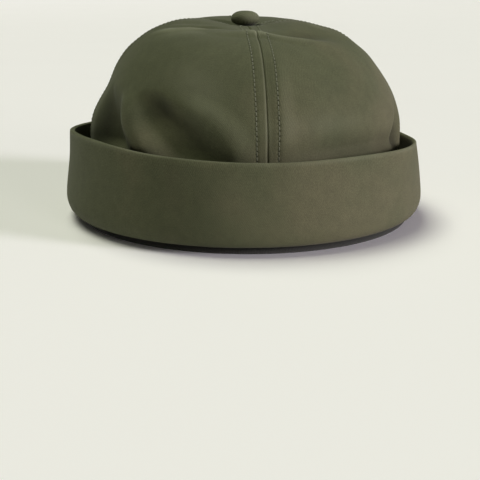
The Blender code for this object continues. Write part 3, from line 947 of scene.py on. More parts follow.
@dataclass
class ClothMesh:
    """Vertices, faces, cloth coordinates, worn edges and painted light of a piece as it is made."""

    points: list[Grid] = field(default_factory=list)
    cloth: list[Grid] = field(default_factory=list)
    wear: list[Grid] = field(default_factory=list)
    seam: list[Grid] = field(default_factory=list)
    faces: list[tuple[int, ...]] = field(default_factory=list)
    count: int = 0

    def add_grid(self, points: Grid, cloth: Grid, wear: Grid, seam: Grid | None = None) -> Grid:
        """Add the vertices of a grid.

        Args:
            points: places, one for each row and column.
            cloth: where each lies on the flat cloth, in metres.
            wear: paleness from worn edges and painted highlight, below 0 darkening and painted
                shade.
            seam: how far each is from a topstitched seam, or None if there is none.

        Returns:
            The number of each vertex, by row and column.
        """
        rows, columns = points.shape[:2]
        numbers = self.count + np.arange(rows * columns).reshape(rows, columns)
        self.points.append(points.reshape(-1, 3))
        self.cloth.append(cloth.reshape(-1, 2))
        self.wear.append(wear.reshape(-1))
        self.seam.append(np.zeros(rows * columns) if seam is None else seam.reshape(-1))
        self.count += rows * columns
        return numbers

    def add_quads(self, numbers: Grid, wrap: bool = False) -> None:
        """Add the faces of a grid, whose last row joins its first if it wraps.

        Args:
            numbers: the number of each vertex, by row and column.
            wrap: whether the last row joins the first.
        """
        following = np.roll(numbers, -1, axis=0) if wrap else numbers[1:]
        here = numbers if wrap else numbers[:-1]
        corners = [here[:, :-1], here[:, 1:], following[:, 1:], following[:, :-1]]
        quads = np.stack([corner.ravel() for corner in corners], axis=1)
        self.faces.extend(tuple(int(n) for n in quad) for quad in quads)

    def add_strip(self, fine: Sequence[int], coarse: Sequence[int]) -> None:
        """Join a fine edge to a coarser one whose points lie at every few points of it.

        Args:
            fine: vertex numbers along the fine edge.
            coarse: vertex numbers along the coarser one.
        """
        step = (len(fine) - 1) // (len(coarse) - 1)
        middle = step // 2
        for k in range(len(coarse) - 1):
            start = k * step
            for j in range(step):
                apex = coarse[k] if j < middle else coarse[k + 1]
                self.faces.append((fine[start + j], fine[start + j + 1], apex))
            self.faces.append((fine[start + middle], coarse[k + 1], coarse[k]))

    def build(self, name: str, sharp_degrees: float) -> bpy.types.Object:
        """Make the object.

        Args:
            name: the piece's name.
            sharp_degrees: edges bent more than this stay sharp.

        Returns:
            The piece, at the origin, with its place in its mesh.
        """
        mesh = bpy.data.meshes.new(name)
        mesh.from_pydata(np.concatenate(self.points).tolist(), [], self.faces)
        made = bmesh.new()
        made.from_mesh(mesh)
        bmesh.ops.recalc_face_normals(made, faces=made.faces)
        made.to_mesh(mesh)
        made.free()
        values = {WEAR_AND_LIGHT: np.concatenate(self.wear), SEAM: np.concatenate(self.seam)}
        lay_cloth(mesh, np.concatenate(self.cloth), values)
        mesh.shade_smooth()
        mesh.set_sharp_from_angle(angle=math.radians(sharp_degrees))
        piece = bpy.data.objects.new(name, mesh)
        bpy.context.scene.collection.objects.link(piece)
        return piece


def dress(piece: bpy.types.Object, material: bpy.types.Material) -> None:
    """Give a piece its material, let it ride on the cap, and log it.

    Args:
        piece: the finished piece.
        material: its material.
    """
    piece.data.materials.clear()
    piece.data.materials.append(material)
    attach(piece, BODY)
    triangles = sum(len(face.vertices) - 2 for face in piece.data.polygons)
    LOG.info("%s: %d triangles", piece.name, triangles)


# ---- Crown


@dataclass
class SeamWork:
    """How a crown seam is sewn: rolled edges, allowances pressed open and two topstitched rows."""

    gap: float = 0.00010
    roll_depth: float = 0.00072
    roll_width: float = 0.00030
    allowance: float = 0.0055
    lift: float = 0.00012
    lift_starts: float = 0.0004
    lift_full: float = 0.0013
    lift_ends: float = 0.0038
    row_dip: float = 0.00008
    row_width: float = 0.00055
    pitch: float = 0.0025
    thread_radius: float = 0.00024
    inner_layer: float = 0.0007
    inner_fade: tuple[float, float] = (0.0008, 0.0016)
    pull_change: float = 0.4
    # Pale rolled edges beside the seam: worn cloth and painted highlight.
    painted_light_and_wear: float = 0.7
    pale_band_starts: float = 0.00015
    pale_band_at: float = 0.0007
    pale_band_width: float = 0.0006
    first_row_radius: float = 0.0090
    last_row_down: float = 0.975
    full_half_width: float = 0.014

    def squeeze(self, half: Grid) -> Grid:
        """How much the seam work narrows where the panel is narrow."""
        return np.minimum(1.0, half / self.full_half_width)

    def relief(self, distance: Grid, along: Grid) -> Grid:
        """How far the cloth stands out near a seam.

        Args:
            distance: from the seam, as if the panel were wide.
            along: how far down the seam, in metres.

        Returns:
            Height over the plain wall, below 0 in the seam and in the stitched row.
        """
        roll = -self.roll_depth * np.exp(-distance / self.roll_width)
        lift = smooth(self.lift_starts, self.lift_full, distance)
        lift = lift * (1.0 - smooth(self.lift_ends, self.allowance, distance)) * self.lift
        off_row = (distance - self.allowance) / self.row_width
        pull = 1.0 - self.pull_change + self.pull_change * np.cos(TURN * along / self.pitch)
        return roll + lift - self.row_dip * pull * np.exp(-off_row ** 2)

    def wear_and_painted_light(self, distance: Grid) -> Grid:
        """How pale the rolled edges of a seam are made: worn cloth and painted highlight."""
        rolled = np.exp(-((distance - self.pale_band_at) / self.pale_band_width) ** 2)
        return self.painted_light_and_wear * rolled * (distance > self.pale_band_starts)

    def backing(self, distance: Grid) -> Grid:
        """How much the pressed-open allowance adds to the wall inside the crown.

        Args:
            distance: from the seam, as if the panel were wide.

        Returns:
            The added thickness, in metres.
        """
        starts, ends = self.inner_fade
        edge = 1.0 - smooth(self.allowance + starts, self.allowance + ends, distance)
        return self.inner_layer * edge * smooth(0.0, starts, distance)


@dataclass
class PanelPattern:
    """Where a crown panel's rows and columns lie."""

    panels: int = 4
    apex_hole: float = 0.0030
    row_step: float = 0.000625
    rows_per_inner_row: int = 4
    far_columns: int = 44
    near_seam: tuple[float, ...] = (
        0.0, 0.00010, 0.00022, 0.00038, 0.00060, 0.0009, 0.0013, 0.0018, 0.0025, 0.0033,
        0.0041, 0.0048, 0.00525, 0.0055, 0.00575, 0.00615, 0.0067, 0.0074, 0.0086,
    )


@dataclass
class CrownPanel:
    """One gore of the crown, with the two topstitched rows along its seams."""

    index: int
    label: str
    form: CrownForm
    seam: SeamWork
    pattern: PanelPattern
    cloth: float = 0.0016
    stitch_stretch: float = 1.02
    sharp_degrees: float = 60.0
    wear_limits: tuple[float, float] = (-1.5, 1.8)

    @property
    def node(self) -> str:
        """The CAD node that the panel stands for."""
        return f"crown_panel_{self.label}"

    def place(self, down: Grid, distance: Grid) -> Grid:
        """Azimuth of a point at a distance from the panel's left seam."""
        width = TURN / self.pattern.panels
        return self.index * width + (0.5 * self.seam.gap + distance) / self.form.radius(down)

    def half(self, down: Grid) -> Grid:
        """Half the panel's width at a share of the way down."""
        return self.form.radius(down) * math.pi / self.pattern.panels - 0.5 * self.seam.gap

    def face(self, down: Grid, distance: Grid) -> tuple[Grid, Grid, Grid, Grid]:
        """The panel's outer face.

        Args:
            down: share of the way down, for each point.
            distance: from the left seam, for each point.

        Returns:
            The points, the same points without the seam work, their outward normals and their
            distances from the nearer seam.
        """
        half = self.half(down)
        azimuth = self.place(down, distance)
        near = np.minimum(distance, 2.0 * half - distance) / self.seam.squeeze(half)
        skin = self.form.sunk(azimuth, down)
        outward = self.form.normals(self.form.sunk, azimuth, down)
        relief = self.seam.relief(near, down * self.form.length) * self.seam.squeeze(half)
        return skin + outward * relief[..., None], skin, outward, near

    def _net(self) -> tuple[Grid, Grid]:
        """Where the rows and columns of the outer face lie.

        Returns:
            The share of the way down and the distance from the left seam, for each point.
        """
        form, pattern = self.form, self.pattern
        start = form.share_at(pattern.apex_hole)
        per_inner = pattern.rows_per_inner_row
        rows = per_inner * round((1.0 - start) * form.length / pattern.row_step / per_inner)
        down = np.linspace(start, 1.0, rows + 1)[:, None]
        half = self.half(down)
        near = np.array(pattern.near_seam)[None, :] * self.seam.squeeze(half)
        far = np.linspace(0.0, 1.0, pattern.far_columns + 1)[None, 1:]
        left = np.concatenate([near, near[:, -1:] + (half - near[:, -1:]) * far], axis=1)
        distance = np.concatenate([left, 2.0 * half - left[:, -2::-1]], axis=1)
        return np.broadcast_to(down, distance.shape), distance

    def build(self) -> bpy.types.Object:
        """Make the panel: a fine outer face and a coarser inner one, joined at the edges.

        Returns:
            The panel's piece.
        """
        down, distance = self._net()
        outer, skin, outward, edge = self.face(down, distance)
        inner = skin - outward * (self.cloth + self.seam.backing(edge))[..., None]
        cloth = np.stack([distance - self.half(down), down * self.form.length], axis=-1)
        # Worn seam edges with painted highlight, plus the highlights and shade painted on the
        # crown.
        wear_and_painted_light = self.form.wear_and_painted_light(self.place(down, distance), down)
        wear = np.clip(self.seam.wear_and_painted_light(edge) + wear_and_painted_light, *self.wear_limits)
        some = slice(None, None, self.pattern.rows_per_inner_row)
        mesh = ClothMesh()
        front = mesh.add_grid(outer, cloth, wear, edge)
        back = mesh.add_grid(inner[some], cloth[some], np.zeros_like(wear[some]))
        for face in (front, back):
            mesh.add_quads(face)
        for column in (0, -1):
            mesh.add_strip(front[:, column].tolist(), back[:, column].tolist())
        for row in (0, -1):
            mesh.add_quads(np.stack([front[row], back[row]]))
        return mesh.build(f"{self.label}_panel", self.sharp_degrees)

    def topstitch(self, master: bpy.types.Object) -> bpy.types.Object:
        """Copy one stitch along both of the panel's seams.

        Args:
            master: a stitch 1 long, along X, with +Z off the cloth.

        Returns:
            The panel's stitches as one piece.
        """
        form, seam = self.form, self.seam
        start = form.share_at(seam.first_row_radius) * form.length
        count = int((seam.last_row_down * form.length - start) / seam.pitch)
        first = math.ceil(start / seam.pitch)
        holes = (first + np.arange(count + 1)) * seam.pitch / form.length
        middles = 0.5 * (holes[1:] + holes[:-1])
        shape = np.array([vertex.co for vertex in master.data.vertices])
        faces = [tuple(face.vertices) for face in master.data.polygons]
        mesh = ClothMesh()
        for side in Side:
            ends = self._row(holes, side)[0]
            centre, outward = self._row(middles, side)
            along = ends[1:] - ends[:-1]
            reach = np.linalg.norm(along, axis=1, keepdims=True)
            forward = along / reach
            across = np.cross(outward, forward)
            upward = np.cross(forward, across)
            for k in range(len(middles)):
                long = float(reach[k, 0] * self.stitch_stretch)
                local = shape * np.array([long, seam.thread_radius, seam.thread_radius])
                turned = local[:, :1] * forward[k] + local[:, 1:2] * across[k]
                points = centre[k] + turned + local[:, 2:] * upward[k]
                flat = np.zeros((1, len(points), 2))
                numbers = mesh.add_grid(points[None], flat, np.zeros((1, len(points))))[0]
                mesh.faces.extend(tuple(int(numbers[n]) for n in face) for face in faces)
        return mesh.build(f"{self.label}_topstitching", NEVER_SHARP)

    def _row(self, down: Grid, side: Side) -> tuple[Grid, Grid]:
        """Points and normals along a stitched row.

        Args:
            down: share of the way down, for each point.
            side: which of the panel's seams the row lies along.

        Returns:
            The points and the outward normals.
        """
        half = self.half(down)
        inset = self.seam.allowance * self.seam.squeeze(half)
        distance = inset if side is Side.LEFT else 2.0 * half - inset
        points, _, outward, _ = self.face(down, distance)
        return points, outward


@dataclass
class Stitch:
    """One stitch of thread, lying on the cloth with both ends drawn into it."""

    segments: int = 8
    rings: int = 7
    rise: float = 0.45
    end_drop: float = 2.2

    def build(self) -> bpy.types.Object:
        """Model the stitch 1 long and 1 in radius; its copies are scaled to the thread.

        Returns:
            The master stitch, which is no piece of the cap.
        """
        bpy.ops.object.select_all(action="DESELECT")
        bpy.ops.mesh.primitive_uv_sphere_add(
            segments=self.segments, ring_count=self.rings, radius=1.0, location=(0.0, 0.0, 0.0)
        )
        master = bpy.context.object
        master.name = "stitch_master"
        bpy.ops.object.mode_set(mode="EDIT")
        bpy.ops.mesh.select_all(action="SELECT")
        bpy.ops.transform.rotate(
            value=math.pi / 2.0, orient_axis="Y", center_override=(0.0, 0.0, 0.0)
        )
        bpy.ops.transform.resize(value=(0.5, 1.0, 1.0))
        bpy.ops.object.mode_set(mode="OBJECT")
        for vertex in master.data.vertices:
            part = abs(vertex.co.x) * 2.0
            vertex.co.z += self.rise - self.end_drop * part ** 3
        return master


@dataclass
class CrownButton:
    """The covered button where the four seams meet."""

    radius: float = 0.0084
    height: float = 0.0084
    waist: float = 0.45
    edge_fullness: float = 0.8
    pleats: int = 22
    pleat_depth: float = 0.00016
    pleat_wander: float = 0.9
    pleat_rest: float = 0.6
    gathered: tuple[float, float] = (0.10, 0.75)
    unevenness: float = 0.00006
    uneven_band: tuple[float, float] = (0.75, 0.25)
    back_arc: float = 1.35
    # Pale ring on the dome: worn cloth and painted highlight.
    painted_light_and_wear: float = 0.9
    pale_band_at: float = 0.45
    pale_band_width: float = 0.40
    segments: int = 96
    rings: int = 48
    shank_radius: float = 0.0022
    flat_within: float = 1e-5

    def build(self) -> bpy.types.Object:
        """Model the button from a sphere: a low dome, gathered under its edge.

        Returns:
            The button's piece.
        """
        low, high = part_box("crown_button")
        seat = high.z - self.height
        bpy.ops.object.select_all(action="DESELECT")
        bpy.ops.mesh.primitive_uv_sphere_add(
            segments=self.segments, ring_count=self.rings, radius=self.radius,
            location=(0.0, 0.0, 0.0),
        )
        piece = bpy.context.object
        piece.name = piece.data.name = "button_cover"
        places = np.array([vertex.co for vertex in piece.data.vertices])
        pitch = np.arcsin(np.clip(places[:, 2] / self.radius, -1.0, 1.0))
        turn = np.arctan2(places[:, 0], -places[:, 1])
        for vertex, reach, angle, z in zip(piece.data.vertices, *self._dome(pitch, turn)):
            vertex.co = (reach * math.sin(angle), -reach * math.cos(angle), seat + z)
        self._shank(piece, low.z, seat)
        self._cloth(piece.data, pitch, turn)
        piece.data.shade_smooth()
        return piece

    def _dome(self, pitch: Grid, turn: Grid) -> tuple[Grid, Grid, Grid]:
        """The cover's reach, azimuth and height over its seat, from pitches on the sphere.

        Args:
            pitch: latitude of each point on the sphere, in radians.
            turn: azimuth of each point, in radians.

        Returns:
            The reaches, the azimuths and the heights.
        """
        rise = np.where(pitch > 0.0, 1.0 - self.waist, self.waist) * self.height
        height = self.waist * self.height + rise * np.sin(pitch)
        fold = np.cos(self.pleats * turn + self.pleat_wander * np.sin(3.0 * turn + 0.4))
        under = smooth(*self.gathered, -pitch) * (height > 0.0)
        uneven = smooth(*self.uneven_band, np.abs(pitch)) * np.sin(5.0 * turn + 1.0)
        reach = self.radius * np.cos(pitch) ** self.edge_fullness
        reach = reach - self.pleat_depth * (fold + self.pleat_rest) * under
        return reach + self.unevenness * uneven, turn, np.maximum(height, 0.0)

    def _shank(self, piece: bpy.types.Object, foot: float, seat: float) -> None:
        """Extrude the hidden shank from the button's flat back.

        Args:
            piece: the button's piece.
            foot: height of the shank's end.
            seat: height of the button's back.
        """
        bpy.context.view_layer.objects.active = piece
        for face in piece.data.polygons:
            centre = face.center
            inside = math.hypot(centre.x, centre.y) < self.shank_radius
            face.select = inside and centre.z < seat + self.flat_within
        for part in (*piece.data.edges, *piece.data.vertices):
            part.select = False
        for face in piece.data.polygons:
            if face.select:
                for number in face.vertices:
                    piece.data.vertices[number].select = True
        bpy.ops.object.mode_set(mode="EDIT")
        bpy.ops.mesh.select_mode(type="FACE")
        bpy.ops.mesh.extrude_region_move(
            TRANSFORM_OT_translate={"value": (0.0, 0.0, foot - seat)}
        )
        bpy.ops.object.mode_set(mode="OBJECT")

    def _cloth(self, mesh: bpy.types.Mesh, pitch: Grid, turn: Grid) -> None:
        """Lay the cloth over the dome from the middle out, with a pale ring, worn and painted
        highlight.

        Args:
            mesh: the button's mesh, with its shank.
            pitch: latitude of each point of the cover on the sphere.
            turn: azimuth of each point of the cover.
        """
        arc = np.interp(pitch, [-math.pi / 2, math.pi / 2], [self.back_arc, 0.0]) * self.radius
        in_shank = len(mesh.vertices) - len(arc)
        reach = np.concatenate([arc, np.full(in_shank, arc.max())])
        angle = np.concatenate([turn, np.zeros(in_shank)])
        flat = np.stack([reach * np.sin(angle), -reach * np.cos(angle)], axis=1)
        off_ring = (reach / self.radius - self.pale_band_at) / self.pale_band_width
        lay_cloth(mesh, flat, {WEAR_AND_LIGHT: self.painted_light_and_wear * np.exp(-off_ring ** 2)})


# ---- Rings: cuff and sweatband


@dataclass(frozen=True)
class Row:
    """A point of a ring's section: out from the crown's half width, and its height."""

    out: float
    height: float


@dataclass
class Ring:
    """A piece turned round the cap, with a closed section that may change on the way."""

    half_width: float = 0.0920
    extra_half_length: float = 0.0050
    steps: int = 320
    smoothing: int = 5
    sharp_degrees: float = 70.0

    def section(self, azimuth: float) -> list[Row]:
        """The closed section at one azimuth."""
        raise NotImplementedError

    def shift(self, out: Grid) -> Grid:
        """How far points of the ring sit to the right, by how far out they are."""
        return np.zeros_like(out)

    def turns(self) -> Grid:
        """Azimuths of the ring's steps, from the back round to the back."""
        return np.linspace(-math.pi, math.pi, self.steps, endpoint=False)

    def grids(self) -> tuple[Grid, Grid, Grid, Grid]:
        """The ring's outs, heights and azimuths, and the lengths along its section.

        Returns:
            All four by step and by point of the section.
        """
        turns = self.turns()
        outs, heights = [], []
        for turn in turns:
            rows = np.array([(row.out, row.height) for row in self.section(float(turn))])
            curve = smooth_curve(rows, self.smoothing, closed=True)
            outs.append(curve[:, 0])
            heights.append(curve[:, 1])
        out, height = np.array(outs), np.array(heights)
        steps = [np.diff(np.concatenate([part, part[:, :1]], axis=1)) for part in (out, height)]
        along = np.cumsum(np.hypot(*steps), axis=1)
        return out, height, np.broadcast_to(turns[:, None], out.shape), along

    def points(self, out: Grid, height: Grid, azimuth: Grid) -> Grid:
        """Places of the ring's points.

        Args:
            out: how far out from the half width each point lies.
            height: height of each point.
            azimuth: azimuth of each point.

        Returns:
            The places.
        """
        reach = self.half_width + out
        x = self.shift(out) + reach * np.sin(azimuth)
        y = -(reach + self.extra_half_length) * np.cos(azimuth)
        return np.stack([x, y, height], axis=-1)

    def mesh(
        self, name: str, points: Grid, azimuth: Grid, along: Grid, wear: Grid
    ) -> bpy.types.Object:
        """Close the ring and make its piece.

        Args:
            name: the piece's name.
            points: places by step and by point of the section.
            azimuth: azimuth of each point.
            along: length along the section to each point.
            wear: paleness of each point, worn and painted highlight, below 0 darkening and painted
                shade.

        Returns:
            The piece.
        """
        cloth = np.stack([azimuth * self.half_width, along], axis=-1)
        made = ClothMesh()
        numbers = made.add_grid(points, cloth, wear)
        made.add_quads(np.concatenate([numbers, numbers[:, :1]], axis=1), wrap=True)
        return made.build(name, self.sharp_degrees)


@dataclass
class TurnedUpCuff(Ring):
    """The wide cuff of doubled cloth, folded up round the crown, with an open slot behind it.

    The cloth is darkened all round, and painted shade is added about an azimuth, in radians, and
    over a reach on either side of it. The rim's pale band is worn cloth and painted highlight. A
    pair is where a smooth change starts and ends. The leg's rows are shares of its cloth and
    height, and those of the rim's arc shares of the cloth and of the rim's roundness below its top.
    """

    node: str = "turned_up_cuff"
    cloth: float = 0.0026
    leftward: float = 0.0010
    shift_from: float = 0.0050
    shift_over: float = 0.0060
    leg_height: float = 0.0140
    leg_out: float = 0.0028
    leg: tuple[tuple[float, float], ...] = (
        (1.0, 0.80), (1.0, 1.00), (0.2, 1.06), (0.0, 1.00), (0.0, 0.54), (0.45, 0.36),
    )
    rim_out: float = 0.0110
    rim_round: float = 0.0020
    upright_rows: int = 3
    join_depth: float = 0.0006
    join_width: float = 0.00045
    join_face: tuple[float, float] = (0.0112, 0.0122)
    fine_steps: int = 24
    fine_reach: float = 0.0060
    fine_crowding: float = 2.2
    free_height: tuple[float, float] = (0.0045, 0.0300)
    free_out: tuple[float, float] = (0.0060, 0.0085)
    # Pale rim band: worn cloth and painted highlight.
    rim_pale_band: float = 0.9
    rim_pale_band_drop: tuple[float, float] = (0.0036, 0.0004)
    rim_arc: tuple[tuple[float, float], ...] = ((0.85, 0.2), (0.5, 0.0), (0.15, 0.2))
    # The cloth darkened all round, and painted shade about an azimuth left of the front.
    darkening: float = 0.10
    painted_shade: float = 0.42
    painted_shade_at: float = -0.36
    painted_shade_over: float = 0.30
    rim: tuple[float, ...] = (
        0.0480, 0.0482, 0.0490, 0.0514, 0.0523, 0.0491,
        0.0471, 0.0476, 0.0462, 0.0442, 0.0458, 0.0473,
    )
    face: tuple[Row, ...] = (
        Row(0.0085, 0.0042), Row(0.0115, 0.0052), Row(0.0136, 0.0080),
        Row(0.0147, 0.0135), Row(0.0137, 0.0240), Row(0.0123, 0.0360),
    )
    slot: tuple[Row, ...] = (Row(0.0108, 0.0092), Row(0.0085, 0.0070), Row(0.0065, 0.0085))
    ripples: tuple[Ripple, ...] = (Ripple(0.075, 0.00055, 21), Ripple(0.028, 0.00014, 22))

    def rim_height(self, azimuth: float) -> float:
        """Height of the rim, smooth through its table of equal steps from the back.

        Args:
            azimuth: in radians, 0 at the front.

        Returns:
            The height in metres.
        """
        count = len(self.rim)
        place = (azimuth + math.pi) / TURN * count
        first = math.floor(place)
        return between([self.rim[(first + k) % count] for k in NEIGHBOURS], place - first)

    def section(self, azimuth: float) -> list[Row]:
        """Under the foot, up the outer face, over the rim, down the slot and round the leg.

        Args:
            azimuth: in radians, 0 at the front.

        Returns:
            The section's points.
        """
        rim = self.rim_height(azimuth)
        back = self.rim_out - self.cloth
        rows = [*self.face, Row(self.rim_out, rim - self.rim_round)]
        for share, drop in self.rim_arc:
            rows.append(Row(back + share * self.cloth, rim - drop * self.rim_round))
        rows.append(Row(back, rim - self.rim_round))
        upright = self.face[-self.upright_rows:]
        rows += [Row(row.out - self.cloth, row.height) for row in reversed(upright)]
        rows += self.slot
        for share, part in self.leg:
            rows.append(Row(self.leg_out + share * self.cloth, part * self.leg_height))
        return rows

    def shift(self, out: Grid) -> Grid:
        """The leg stays centred, and the shift to the left grows outwards from it."""
        return -self.leftward * np.clip((out - self.shift_from) / self.shift_over, 0.0, 1.0)

    def turns(self) -> Grid:
        """Even steps, with finer ones by the join at the back.

        Returns:
            The azimuths, in radians.
        """
        reach = self.fine_reach / self.half_width
        fine = reach * np.linspace(0.0, 1.0, self.fine_steps + 1) ** self.fine_crowding
        even = np.linspace(-math.pi + reach, math.pi - reach, self.steps)
        return np.concatenate([-math.pi + fine[:-1], even, (math.pi - fine[:0:-1])[1:]])

    def build(self) -> bpy.types.Object:
        """Make the cuff with its soft unevenness and the join at the back.

        Returns:
            The cuff's piece.
        """
        out, height, azimuth, along = self.grids()
        plain = self.points(out, height, azimuth)
        free = smooth(*self.free_height, height) * smooth(*self.free_out, out)
        stand = np.zeros_like(out)
        for ripple in self.ripples:
            stand = stand + ripple.at(plain)
        join = (math.pi - np.abs(azimuth)) * self.half_width
        groove = self.join_depth * np.exp(-join / self.join_width) * smooth(*self.join_face, out)
        points = self.points(out + stand * free - groove, height, azimuth)
        rims = np.array([self.rim_height(float(turn)) for turn in azimuth[:, 0]])[:, None]
        # Pale band on the rim: worn cloth and painted highlight.
        wear = self.rim_pale_band * smooth(*self.rim_pale_band_drop, rims - height)
        wear = wear * (out > self.rim_out - self.cloth)
        # Darkened all round, and painted shade about 21 degrees to the left of the front seam.
        painted_shade = np.exp(-(((azimuth - self.painted_shade_at) / self.painted_shade_over) ** 2))
        wear = wear - self.darkening - self.painted_shade * painted_shade
        return self.mesh("cuff_cloth", points, azimuth, along, wear)


@dataclass
class Sweatband(Ring):
    """The black band inside the opening, whose lower edge is turned out as a flat lip."""

    node: str = "sweatband"
    cloth: float = 0.0012
    height: float = 0.0280
    foot: float = 0.0004
    lip: float = 0.0060
    lip_flat: float = 0.0016
    lip_edge: float = 0.0006
    top_round: float = 0.0004
    smoothing: int = 4
    steps: int = 240
    upright: tuple[float, ...] = (0.0130, 0.0210)
    lip_upper: tuple[Row, ...] = (
        Row(0.0044, 0.0018), Row(0.0024, 0.0028), Row(0.0006, 0.0036), Row(0.0000, 0.0048),
    )
    lip_lower: tuple[Row, ...] = (
        Row(-0.0012, 0.0048), Row(-0.0007, 0.0030), Row(0.0014, 0.0016), Row(0.0032, 0.0006),
    )
    form: CrownForm = field(default_factory=CrownForm)
    gap: float = 0.0005
    crown_cloth: float = 0.0016

    def lies_at(self, height: float) -> float:
        """Where the band's outer face lies against the wall at a height.

        Args:
            height: over the floor.

        Returns:
            Out from the half width.
        """
        start = self.form.samples // 2
        reach = np.interp(-height, -self.form.height[start:], self.form.reach[start:])
        return float((reach - 1.0) * self.half_width) - self.crown_cloth - self.gap

    def section(self, azimuth: float) -> list[Row]:
        """The lip's edge and upper face, the band's two faces and the lip's lower face.

        Args:
            azimuth: in radians; the section is the same all round.

        Returns:
            The section's points.
        """
        top = self.lies_at(self.height)
        shoulder = self.height - self.top_round
        upright = [Row(self.lies_at(height), height) for height in self.upright]
        rows = [Row(self.lip, 0.0), Row(self.lip, self.lip_edge)]
        rows += [Row(self.foot + row.out, row.height) for row in self.lip_upper]
        rows += upright
        rows += [
            Row(top, shoulder), Row(top - 0.5 * self.cloth, self.height),
            Row(top - self.cloth, shoulder),
        ]
        rows += [Row(row.out - self.cloth, row.height) for row in reversed(upright)]
        rows += [Row(self.foot + row.out, row.height) for row in self.lip_lower]
        rows.append(Row(self.lip - self.lip_flat, 0.0))
        return rows

    def build(self) -> bpy.types.Object:
        """Make the sweatband.

        Returns:
            The sweatband's piece.
        """
        out, height, azimuth, along = self.grids()
        points = self.points(out, np.maximum(height, 0.0), azimuth)
        return self.mesh("sweatband_tape", points, azimuth, along, np.zeros_like(out))


# ---- The whole cap and its studio


@dataclass
class Cap:
    """The whole cap."""

    form: CrownForm = field(default_factory=CrownForm)
    seam: SeamWork = field(default_factory=SeamWork)
    pattern: PanelPattern = field(default_factory=PanelPattern)
    labels: tuple[str, ...] = ("front_right", "back_right", "back_left", "front_left")
    gore_flat: tuple[float, float] = (0.149, 0.178)
    gore_area: float = 0.0184
    cuff_flat: tuple[float, float] = (0.645, 0.060)
    band_flat: tuple[float, float] = (0.585, 0.036)

    def build(self) -> None:
        """Build and dress every piece, and hide the CAD parts they replace."""
        twill, thread, tape = TwillFinish().make(), ThreadFinish().make(), TapeFinish().make()
        self._crown(twill, thread)
        self._button(twill)
        self._cuff(twill)
        self._sweatband(tape)

    def _crown(self, twill: bpy.types.Material, thread: bpy.types.Material) -> None:
        """The four panels and their topstitching.

        Args:
            twill: the cloth's material.
            thread: the stitches' material.
        """
        master = Stitch().build()
        for index, label in enumerate(self.labels):
            panel = CrownPanel(index, label, self.form, self.seam, self.pattern)
            piece = panel.build()
            stitches = panel.topstitch(master)
            dress(piece, twill)
            dress(stitches, thread)
            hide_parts(panel.node)
        bpy.data.objects.remove(master, do_unlink=True)

    def _button(self, twill: bpy.types.Material) -> None:
        """The covered button.

        Args:
            twill: the cloth's material.
        """
        piece = CrownButton().build()
        dress(piece, twill)
        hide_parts("crown_button")

    def _cuff(self, twill: bpy.types.Material) -> None:
        """The turned-up cuff.

        Args:
            twill: the cloth's material.
        """
        cuff = TurnedUpCuff()
        piece = cuff.build()
        dress(piece, twill)
        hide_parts(cuff.node)

    def _sweatband(self, tape: bpy.types.Material) -> None:
        """The sweatband.

        Args:
            tape: the tape's material.
        """
        band = Sweatband(form=self.form)
        piece = band.build()
        dress(piece, tape)
        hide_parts(band.node)


@dataclass(frozen=True)
class Lamp:
    """A soft, far light; its azimuth is 0 behind the camera and grows to the camera's right."""

    name: str
    azimuth: float
    elevation: float
    strength: float
    spread: float
    colour: tuple[float, float, float] = (1.0, 1.0, 1.0)


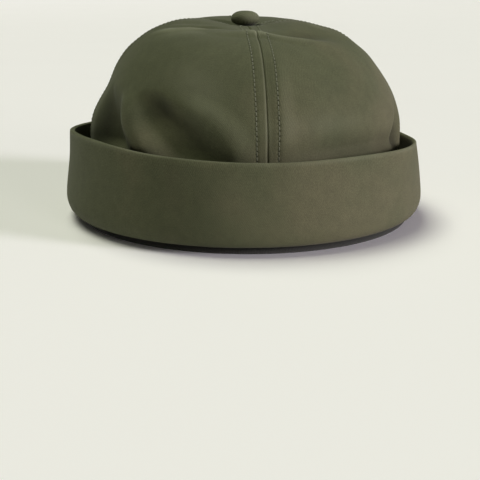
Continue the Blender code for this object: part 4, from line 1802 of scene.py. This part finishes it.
@dataclass
class Studio:
    """Pale floor, soft light and the camera at the photograph's angle."""

    turn: float = math.radians(-6.5)
    eye: tuple[float, float, float] = (-0.003, -0.515, 0.121)
    tilt: float = math.radians(15.4)
    lens: float = 63.75
    sensor: float = 36.0
    floor_rings: tuple[tuple[float, float], ...] = (
        (5.0, 0.0), (7.0, 0.03), (9.0, 0.15), (11.0, 0.40), (13.0, 0.80), (15.0, 1.30),
    )
    floor_sides: int = 96
    world_colour: Colour = (0.90, 0.90, 0.90, 1.0)
    world_strength: float = 0.05
    lamps: tuple[Lamp, ...] = (
        Lamp("key", 68.0, 12.0, 2.75, 14.0, (1.0, 0.95, 1.0)),
        Lamp("front_fill", 35.0, 14.0, 0.33, 14.0, (1.0, 1.0, 0.84)),
        Lamp("back_top", -150.0, 65.0, 1.20, 28.0, (0.95, 1.0, 0.80)),
        Lamp("left_top", -90.0, 70.0, 0.98, 28.0, (0.95, 1.0, 0.76)),
    )

    def build(self) -> None:
        """Set the floor, the lights, the world and the camera."""
        self._floor()
        self._lights()
        self._world()
        self._camera()
        bpy.context.scene.view_settings.view_transform = "Standard"

    def _floor(self) -> None:
        """A wide pale floor, whose far rings rise a little so that no edge shows."""
        turns = np.linspace(0.0, TURN, self.floor_sides, endpoint=False)
        made = bmesh.new()
        rings = []
        for radius, height in self.floor_rings:
            places = [(radius * math.cos(t), radius * math.sin(t), height) for t in turns]
            rings.append([made.verts.new(place) for place in places])
        made.faces.new(rings[0])
        for inner, outer in zip(rings[:-1], rings[1:]):
            for k in range(self.floor_sides):
                after = (k + 1) % self.floor_sides
                made.faces.new((inner[k], outer[k], outer[after], inner[after]))
        mesh = bpy.data.meshes.new("floor")
        made.to_mesh(mesh)
        made.free()
        mesh.shade_smooth()
        floor = bpy.data.objects.new("floor", mesh)
        bpy.context.scene.collection.objects.link(floor)
        floor.data.materials.append(FloorFinish().make())

    def _lights(self) -> None:
        """Soft suns, placed as seen from the camera."""
        for lamp in self.lamps:
            data = bpy.data.lights.new(lamp.name, "SUN")
            data.energy, data.color = lamp.strength, lamp.colour
            data.angle = math.radians(lamp.spread)
            light = bpy.data.objects.new(lamp.name, data)
            bpy.context.scene.collection.objects.link(light)
            turn = math.radians(lamp.azimuth) + self.turn
            rise = math.radians(lamp.elevation)
            flat = math.cos(rise)
            shine = Vector((-flat * math.sin(turn), flat * math.cos(turn), -math.sin(rise)))
            light.rotation_euler = shine.to_track_quat("-Z", "Y").to_euler()

    def _world(self) -> None:
        """Even pale surroundings."""
        world = bpy.data.worlds.new("surroundings")
        world.use_nodes = True
        background = world.node_tree.nodes["Background"]
        background.inputs["Color"].default_value = self.world_colour
        background.inputs["Strength"].default_value = self.world_strength
        bpy.context.scene.world = world

    def _camera(self) -> None:
        """The camera, a little above the cap and slightly turned."""
        data = bpy.data.cameras.new("camera")
        data.lens, data.sensor_width, data.sensor_fit = self.lens, self.sensor, "HORIZONTAL"
        camera = bpy.data.objects.new("camera", data)
        bpy.context.scene.collection.objects.link(camera)
        look = Matrix.Rotation(math.pi / 2.0 - self.tilt, 4, "X")
        spin = Matrix.Rotation(self.turn, 4, "Z")
        camera.matrix_world = spin @ Matrix.Translation(Vector(self.eye)) @ look
        bpy.context.scene.camera = camera


def main() -> None:
    """Load the frame, then build the studio and the cap around it."""
    logging.basicConfig(level=logging.INFO, format="%(name)s: %(message)s")
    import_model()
    Studio().build()
    Cap().build()


if __name__ == "__main__":
    main()
